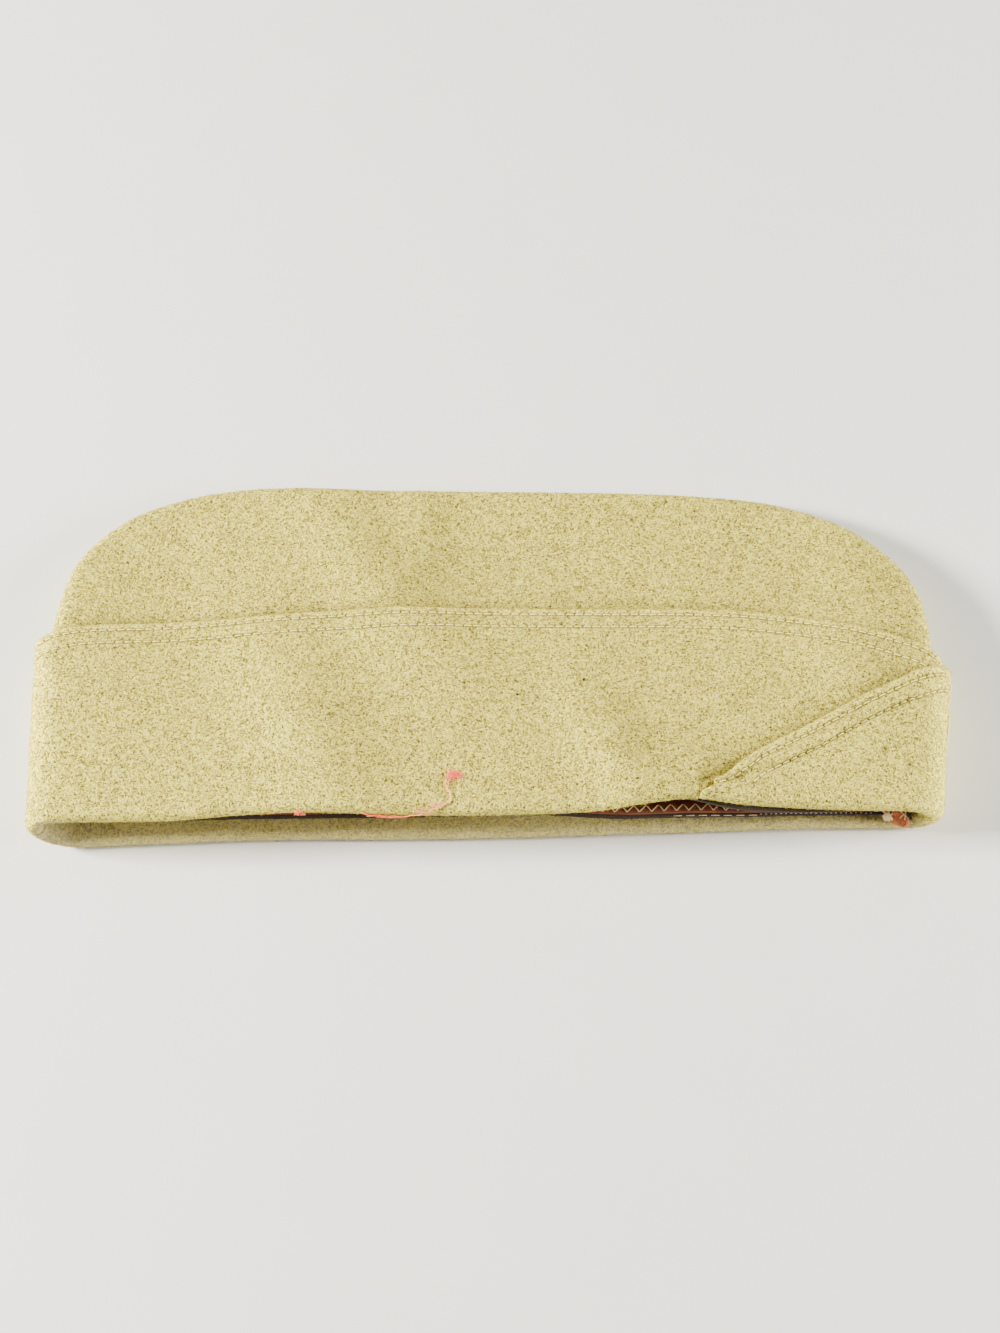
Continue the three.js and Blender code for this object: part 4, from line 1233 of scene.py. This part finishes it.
def raw_end_piece(finish):
    """Raw end of the leather, with a torn edge, coming out at the rim."""
    columns, rows = 25, 21
    start = TURN * TAB_START
    end = TURN + stations(TAB_WIDTH)
    count = HALF + np.linspace(start, end, columns)[:, None]
    torn = 0.45 * np.sin(np.arange(columns) * 1.9) + 1.6 * np.abs(np.linspace(-1, 1, columns)) ** 3
    share = np.linspace(0, 1, rows)
    reach = lerp(TAB_IN, -TAB_OUT, share)
    y = reach[None] + (torn * MM)[:, None] * share[None] ** 3
    offset = tab_offset(reach)[None] + 0 * y
    jagged = 0.1 * np.sin(share * 23)[None] * np.where(count > HALF + (start + end) / 2, 1, -1)
    counts = np.broadcast_to(count + jagged, y.shape)
    outer = girth_point(counts, y, offset)
    inner = girth_point(counts, y, offset - LEATHER)
    return sheet_piece("raw_leather_end", inner, outer, finish)


def tab_count(x):
    """Station of the lower side at a distance in front of the turn's start."""
    radius = turn_radius(0.0) + LEATHER_ON_TAPE
    turned = np.arccos(np.clip(x / radius, 0, 1)) / QUARTER * TURN
    return HALF + np.where(x > 0, turned, TURN - stations(x))


def tab_offset(reach):
    """Offset of the raw end's outer face at a distance in from the rim."""
    foot = tape_foot(np.array(HALF + TURN, float))
    on_band = LEATHER_ON_TAPE - LEATHER - CLEARANCE
    on_fold = LEG_INSIDE - LAYER
    places = np.array([TAB_IN, foot + TAPE_SHOWS, foot, foot / 2, -TAB_OUT])
    offsets = np.array([on_band, on_band, on_band, (on_band + on_fold) / 2, on_fold])
    return np.interp(-reach, -places, offsets)


def scrap_piece(scrap, finish):
    """Small ragged scrap that lies on the raw end."""
    thick = 0.25 * MM
    u = np.linspace(0, 1, 9)[:, None]
    v = np.linspace(0, 1, 7)[None]
    ragged = 0.12 * np.sin(u * 17 + v * 5) * np.abs(2 * v - 1)
    pinch = 1 - 0.35 * np.abs(2 * u - 1) ** 3
    x = lerp(*scrap["x"], u + 0.1 * np.sin(v * 8)) * MM
    reach = lerp(*scrap["in"], (v - 0.5) * pinch + 0.5 + ragged) * MM
    offset = tab_offset(reach) - LEATHER - 0.3 * MM - thick * np.sin(u * 4 + v * 3) ** 2
    count = tab_count(x) + 0 * reach
    upper, lower = (girth_point(count, reach, face) for face in (offset - thick, offset))
    return sheet_piece(scrap["name"], upper, lower, finish)


def scrap_line(row):
    """Line of a short thread over the raw end."""
    steps = np.linspace(0, 2, 12)
    rows = {"step": (0, 1, 2), "x": row["x"], "in": row["in"]}
    x, reach = (follow(rows, "step", column, steps) * MM for column in ("x", "in"))
    lift = 0.7 * MM + 0.3 * MM * np.sin(steps * 3)
    return girth_point(tab_count(x), reach, tab_offset(reach) - LEATHER - lift)


def point_shares(mesh, mark):
    """A mark's share at each point of a mesh."""
    shares = np.empty(len(mesh.vertices))
    mesh.attributes[mark].data.foreach_get("value", shares)
    return shares


def scatter_fibres(piece, name, finish, fibres, rng, above):
    """Short bent fibres on the front face of a piece of cloth, further from the rim than above."""
    mesh = piece.data
    mesh.calc_loop_triangles()
    points = np.empty(len(mesh.vertices) * 3)
    mesh.vertices.foreach_get("co", points)
    corners = np.empty(len(mesh.loop_triangles) * 3, int)
    mesh.loop_triangles.foreach_get("vertices", corners)
    corners = corners.reshape(-1, 3)
    a, b, c = (points.reshape(-1, 3)[corners[:, k]] for k in range(3))
    normal = np.cross(b - a, c - a)
    area = np.linalg.norm(normal, axis=-1)
    front = point_shares(mesh, "front")[corners].min(1) > 0.5
    wanted = area * front * (((a + b + c) / 3)[:, 1] > above)
    if "sewn" in mesh.attributes:
        wanted = wanted * (1 - point_shares(mesh, "sewn")[corners].max(1)).clip(0)
    amount = fibres.amount
    pick = rng.choice(len(area), amount, p=wanted / wanted.sum())
    u, v = rng.random((2, amount, 1))
    over = u + v > 1
    u, v = np.where(over, 1 - u, u), np.where(over, 1 - v, v)
    root = a[pick] + (b - a)[pick] * u + (c - a)[pick] * v
    up = (normal / area[:, None].clip(1e-12))[pick]
    side = np.cross(up, rng.normal(size=(amount, 3)))
    side /= np.linalg.norm(side, axis=-1, keepdims=True)
    other = np.cross(up, side)
    long = fibres.length * rng.uniform(*NAP["long"], (amount, 1))
    bend = rng.uniform(*NAP["bend"], (amount, 1))
    stand = rng.uniform(*NAP["stand"], (amount, 1)) * MM
    lift = rng.exponential(NAP["lift"], (amount, 1)).clip(max=NAP["most_lift"]) * MM
    start = root + up * 0.02 * MM
    middle = root + side * long * 0.5 + other * long * bend + up * stand
    end = root + side * long * rng.uniform(0.7, 1, (amount, 1)) + up * (stand + lift)
    thick = fibres.thickness / 2
    ring = [middle + (other * math.cos(t) + up * math.sin(t)) * thick for t in (0, 2.1, 4.2)]
    points = np.stack([start, *ring, end], 1)
    first = np.arange(amount)[:, None, None] * points.shape[1]
    pattern = np.array([[0, 2, 1], [0, 3, 2], [0, 1, 3], [4, 1, 2], [4, 2, 3], [4, 3, 1]])
    faces = (first + pattern[None]).reshape(-1, 3).tolist()
    tone = np.repeat(rng.beta(2.2, 1.4, amount), points.shape[1])
    return mesh_piece(name, points.reshape(-1, 3), faces, finish, marks={"tone": tone})


def over_rim(curtain, count, way, lift):
    """Point lifted off the curtain's outer face. way runs up its leg and, below the fold's top, round it."""
    radius, fold = curtain.fold_of(count)
    reach = radius + WOOL
    angle = np.maximum(fold - way, 0) / reach
    round_fold = girth_point(
        count, fold - (reach + lift) * np.sin(angle), LEG_INSIDE + radius + (reach + lift) * np.cos(angle))
    return np.where((way > fold)[..., None], curtain.surface(count, np.maximum(way, fold), lift), round_fold)


def tangle(curtain, spot, rng):
    """Fibres heaped on a spot of the curtain, and how red each of their points is."""
    amount, steps, sides = spot["fibres"], 9, 4
    t = np.linspace(-1, 1, steps)[None]
    heading, bend, phase = rng.uniform(0, 2 * math.pi, (3, amount, 1))
    size = rng.uniform(0, 1, (amount, 1)) ** 0.7
    turned = heading + (bend - math.pi) * 0.5 * t
    middle = rng.normal(0, 0.33, (2, amount, 1))
    side = (middle[0] + 0.5 * t * np.cos(turned)) * spot["wide"] * MM
    up = (middle[1] + 0.5 * t * np.sin(turned)) * spot["high"] * MM
    lift = (0.3 + 0.25 * np.sin(phase + 3 * t) + 0.5 * size) * MM
    count = station_at(spot["along"]) + stations(side)
    near = np.exp(-(middle**2).sum(0) / 0.25)
    red = np.repeat((spot["red"] * near).clip(0, 1)[:, 0], steps * sides)
    return tubes(over_rim(curtain, count, spot["way"] * MM + up, lift), 0.055 * MM, sides), red


class CapOperator:
    """What the cap's operators share."""
    bl_options = {"REGISTER", "UNDO"}

    def execute(self, context):
        bpy.ops.object.select_all(action="DESELECT")
        self.make(context.scene)
        return {"FINISHED"}


def cut_area(places, widths):
    """Flat area of cloth that has these widths at these places along it."""
    return float(abs(((widths[1:] + widths[:-1]) / 2 * np.diff(places)).sum()))


class CAP_OT_crown(CapOperator, bpy.types.Operator):
    """Both halves of the crown, sewn together along the ridge"""
    bl_idname = "cap.crown"
    bl_label = "Crown"

    def make(self, scene):
        wool = wool_finish("crown wool", scene.cap_colours)
        round_ridge = RIDGE_THICKNESS / 2
        for side, node, below in ((1, "crown_right", "crown_left"), (-1, "crown_left", "curtain_left")):
            piece = crown_piece(side, node + "_cloth", wool)
            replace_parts(piece, node)
            cut_area(SEAM_POINTS[:, 0], SEAM_POINTS[:, 1] - CROWN_FOOT + round_ridge)


class CAP_OT_curtains(CapOperator, bpy.types.Operator):
    """Both turned-up curtains, with their hems and the lap at the front"""
    bl_idname = "cap.curtains"
    bl_label = "Curtains"

    def make(self, scene):
        wool = wool_finish("curtain wool", scene.cap_colours, sewn=True)
        for right, node, below in ((True, "curtain_right", "crown_right"), (False, "curtain_left", "floor")):
            curtain = Curtain(right, scene.cap_stitching)
            piece = curtain.build(node + "_cloth", wool)
            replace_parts(piece, node)
            places, widths = curtain.cut()
            cut_area(places, widths)


class CAP_OT_topstitching(CapOperator, bpy.types.Operator):
    """Two rows of stitches along the edges of the curtains and the lap"""
    bl_idname = "cap.topstitching"
    bl_label = "Topstitching"

    def make(self, scene):
        thread = thread_finish("sewing thread", scene.cap_colours.sewing, 0.85)
        for name, right, start, end in (
            ("topstitching_right", True, 0.3, HALF - 0.2),
            ("topstitching_left", False, AROUND - 0.3, TIP_STATION + 0.1),
        ):
            rows = Curtain(right, scene.cap_stitching).stitch_rows(start, end)
            thread_piece(name, rows, thread)


class CAP_OT_tape(CapOperator, bpy.types.Operator):
    """Cotton tape over the raw edge inside, with its running stitches"""
    bl_idname = "cap.tape"
    bl_label = "Tape"

    def make(self, scene):
        piece = TAPE_BAND.build("tape_ring", "tape", tape_finish(scene.cap_colours), TAPE_ROWS, slip=1)
        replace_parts(piece, "sweatband_tape")
        pitch = scene.cap_stitching.tape_pitch
        thick = scene.cap_stitching.zigzag_thread * 0.8
        runs = []
        for run in TAPE_STITCHES:
            counts = AROUND - station_at(np.linspace(*run["along"], 400))
            heights = tape_foot(counts) + run["up"] * MM
            step, length = pitch * run["pitch"], pitch * run["long"]
            runs.append(stitches(TAPE_BAND.surface, counts, heights, step, length, thick))
        thread_piece("tape_stitches", runs, thread_finish("tape thread", scene.cap_colours.cream))


class CAP_OT_sweatband(CapOperator, bpy.types.Operator):
    """Leather sweatband with its zigzag seam, and its raw end at the front"""
    bl_idname = "cap.sweatband"
    bl_label = "Sweatband"

    def make(self, scene):
        colours = scene.cap_colours
        leather = leather_finish(colours)
        piece = LEATHER_BAND.build("sweatband_ring", "sweatband_leather", leather, LEATHER_ROWS)
        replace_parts(piece, "sweatband")
        cream = thread_finish("zigzag thread", colours.cream)
        thread_piece("zigzag_stitches", [self.zigzag(scene.cap_stitching)], cream)
        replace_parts(raw_end_piece(raw_leather_finish(colours)), "sweatband_end")

    def zigzag(self, sewing):
        """Legs of the zigzag all round the sweatband's edge."""
        teeth = int(GIRTH_LENGTHS[-1] / (sewing.zigzag_pitch / 2))
        lengths = np.linspace(0, GIRTH_LENGTHS[-1], teeth + 1)[1:-1]
        counts = np.interp(lengths, GIRTH_LENGTHS, GIRTH_COUNTS)
        middle = tape_foot(counts) + TAPE_SHOWS + 0.4 * MM + sewing.zigzag_height / 2
        heights = middle + sewing.zigzag_height / 2 * np.where(np.arange(len(counts)) % 2, 1, -1)
        share = np.array([0.02, 0.1, 0.5, 0.9, 0.98])
        dip = np.array([-0.5, 0.25, 0.5, 0.25, -0.5]) * sewing.zigzag_thread
        places = (lerp(ends[:-1, None], ends[1:, None], share) for ends in (counts, heights))
        return tubes(LEATHER_BAND.surface(*places, dip), sewing.zigzag_thread / 2)


class CAP_OT_loose_thread(CapOperator, bpy.types.Operator):
    """Coral-red thread that hangs over the rim of the right curtain, and its tangled fibres"""
    bl_idname = "cap.loose_thread"
    bl_label = "Loose thread"

    def make(self, scene):
        curtain = Curtain(True, scene.cap_stitching)
        coral = loose_thread_finish(scene.cap_colours)
        thick = scene.cap_stitching.loose_thread
        steps, sides = 110, 8
        row = {"step": tuple(range(len(LOOSE_THREAD["along"]))), **LOOSE_THREAD}
        place = np.linspace(0, row["step"][-1], steps)
        along, way, lift, red = (follow(row, "step", column, place) for column in LOOSE_THREAD)
        line = over_rim(curtain, station_at(along), (way + 0.2 * np.sin(place * 7)) * MM, lift * MM)
        tube = tubes([line], thick / 2, sides)
        cord = thread_piece("loose_thread", [tube], coral, {"red": np.repeat(red, sides)})
        rng = np.random.default_rng(scene.cap_fibres.seed)
        heaps, reds = zip(*(tangle(curtain, spot, rng) for spot in TANGLES))
        tangles = thread_piece("thread_tangles", heaps, coral, {"red": np.concatenate(reds)})
        length = float(np.linalg.norm(np.diff(line, axis=0), axis=-1).sum())


def speck_tube(speck, stitching):
    """Short curl that lies on a curtain."""
    t = np.linspace(-0.5, 0.5, 7)
    lean = math.radians(speck["lean"])
    long = speck["long"] * MM
    curl = 0.3 * long * np.cos(t * 4)
    side = t * long * math.cos(lean) - curl * math.sin(lean)
    up = t * long * math.sin(lean) + curl * math.cos(lean)
    count = station_at(speck["along"]) + stations(side)
    line = Curtain(not speck["lap"], stitching).surface(count, speck["way"] * MM + up, 0.2 * MM)
    thick = (0.35 if speck["dark"] else 0.13) * MM
    return tubes([line], thick * np.sqrt(1 - (2 * t) ** 2 * 0.9))


class CAP_OT_specks(CapOperator, bpy.types.Operator):
    """Dark specks and cream fibres on the curtains, and the scraps at the leather's raw end"""
    bl_idname = "cap.specks"
    bl_label = "Specks"

    def make(self, scene):
        dark = thread_finish("dark lint", scene.cap_colours.lint)
        cream = thread_finish("cream lint", scene.cap_colours.cream, 0.8)
        pink = thread_finish("pink lint", scene.cap_colours.pink, 0.8)
        for name, finish, is_dark in (("dark_specks", dark, True), ("cream_specks", cream, False)):
            chosen = [speck for speck in SPECKS if speck["dark"] == is_dark]
            thread_piece(name, [speck_tube(speck, scene.cap_stitching) for speck in chosen], finish)
        for scrap in SCRAPS:
            scrap_piece(scrap, cream if scrap["cream"] else dark)
        for name, finish, is_cream in (("cream_ends", cream, True), ("pink_ends", pink, False)):
            lines = [scrap_line(row) for row in SCRAP_THREADS if row["cream"] == is_cream]
            thread_piece(name, [tubes(lines, 0.14 * MM)], finish)


class CAP_OT_nap(CapOperator, bpy.types.Operator):
    """Short fibres of the milled wool on the crown and the curtains"""
    bl_idname = "cap.nap"
    bl_label = "Nap"

    def make(self, scene):
        finish = fibre_finish(scene.cap_colours)
        rng = np.random.default_rng(scene.cap_fibres.seed)
        rim = CAP_PLACE[1]
        for part, above in (("crown", rim + CURTAIN_HEIGHT * NAP_START), ("curtain", rim - CURTAIN_HEIGHT)):
            for node in (part + "_right", part + "_left"):
                cloth = bpy.data.objects[node + "_cloth"]
                scatter_fibres(cloth, node + "_nap", finish, scene.cap_fibres, rng, above)


class CAP_OT_stage(CapOperator, bpy.types.Operator):
    """Pale floor, soft lights and the camera"""
    bl_idname = "cap.stage"
    bl_label = "Stage"

    def make(self, scene):
        stage = scene.cap_stage
        bpy.ops.mesh.primitive_plane_add(size=stage.floor_size, location=(0, 0, 0))
        floor = bpy.context.object
        floor.name = "floor"
        floor.data.materials.append(floor_finish(stage))
        for name, power in (("key_light", stage.key_power), ("fill_light", stage.fill_power)):
            self.soft_box(scene, name, power, **SOFT_BOXES[name])
        scene.world = bpy.data.worlds.new("studio")
        scene.world.use_nodes = True
        background = scene.world.node_tree.nodes["Background"]
        background.inputs["Color"].default_value = (1, 1, 1, 1)
        background.inputs["Strength"].default_value = stage.sky
        self.camera(scene, stage)

    def soft_box(self, scene, name, power, size, place, tint):
        data = bpy.data.lights.new(name, "AREA")
        data.energy = power
        data.size = size
        data.color = tint
        light = bpy.data.objects.new(name, data)
        light.location = place
        light.rotation_euler = (-Vector(place)).to_track_quat("-Z", "Y").to_euler()
        scene.collection.objects.link(light)

    def camera(self, scene, stage):
        data = bpy.data.cameras.new("camera")
        data.sensor_fit = "HORIZONTAL"
        data.sensor_width = SENSOR_WIDTH
        data.lens = stage.lens
        camera = bpy.data.objects.new("camera", data)
        back = Vector((0, -math.cos(stage.elevation), math.sin(stage.elevation)))
        camera.location = Vector(stage.target) + back * stage.distance
        camera.rotation_euler = (-back).to_track_quat("-Z", "Y").to_euler()
        scene.collection.objects.link(camera)
        scene.camera = camera


STEPS = (
    CAP_OT_crown, CAP_OT_curtains, CAP_OT_topstitching, CAP_OT_tape, CAP_OT_sweatband,
    CAP_OT_loose_thread, CAP_OT_specks, CAP_OT_nap, CAP_OT_stage,
)


class CAP_PT_panel(bpy.types.Panel):
    """The cap's pieces, in the order in which they are made"""
    bl_idname = "CAP_PT_panel"
    bl_label = "Garrison cap"
    bl_space_type = "VIEW_3D"
    bl_region_type = "UI"
    bl_category = "Garrison cap"

    def draw(self, context):
        for group in GROUPS:
            box = self.layout.box()
            box.label(text=group.replace("cap_", "").capitalize())
            settings = getattr(context.scene, group)
            for name in settings.bl_rna.properties.keys():
                if name not in ("rna_type", "name"):
                    box.prop(settings, name)
        for step in STEPS:
            self.layout.operator(step.bl_idname)


GROUPS = {
    "cap_stitching": CAP_PG_stitching,
    "cap_fibres": CAP_PG_fibres,
    "cap_colours": CAP_PG_colours,
    "cap_stage": CAP_PG_stage,
}


def register():
    for kind in (*GROUPS.values(), *STEPS, CAP_PT_panel):
        bpy.utils.register_class(kind)
    for name, group in GROUPS.items():
        setattr(bpy.types.Scene, name, PointerProperty(type=group))


def unregister():
    for name in GROUPS:
        delattr(bpy.types.Scene, name)
    for kind in (CAP_PT_panel, *reversed(STEPS), *reversed(GROUPS.values())):
        bpy.utils.unregister_class(kind)


def main():
    register()
    for step in STEPS:
        group, name = step.bl_idname.split(".")
        getattr(getattr(bpy.ops, group), name)()


if __name__ == "__main__":
    main()
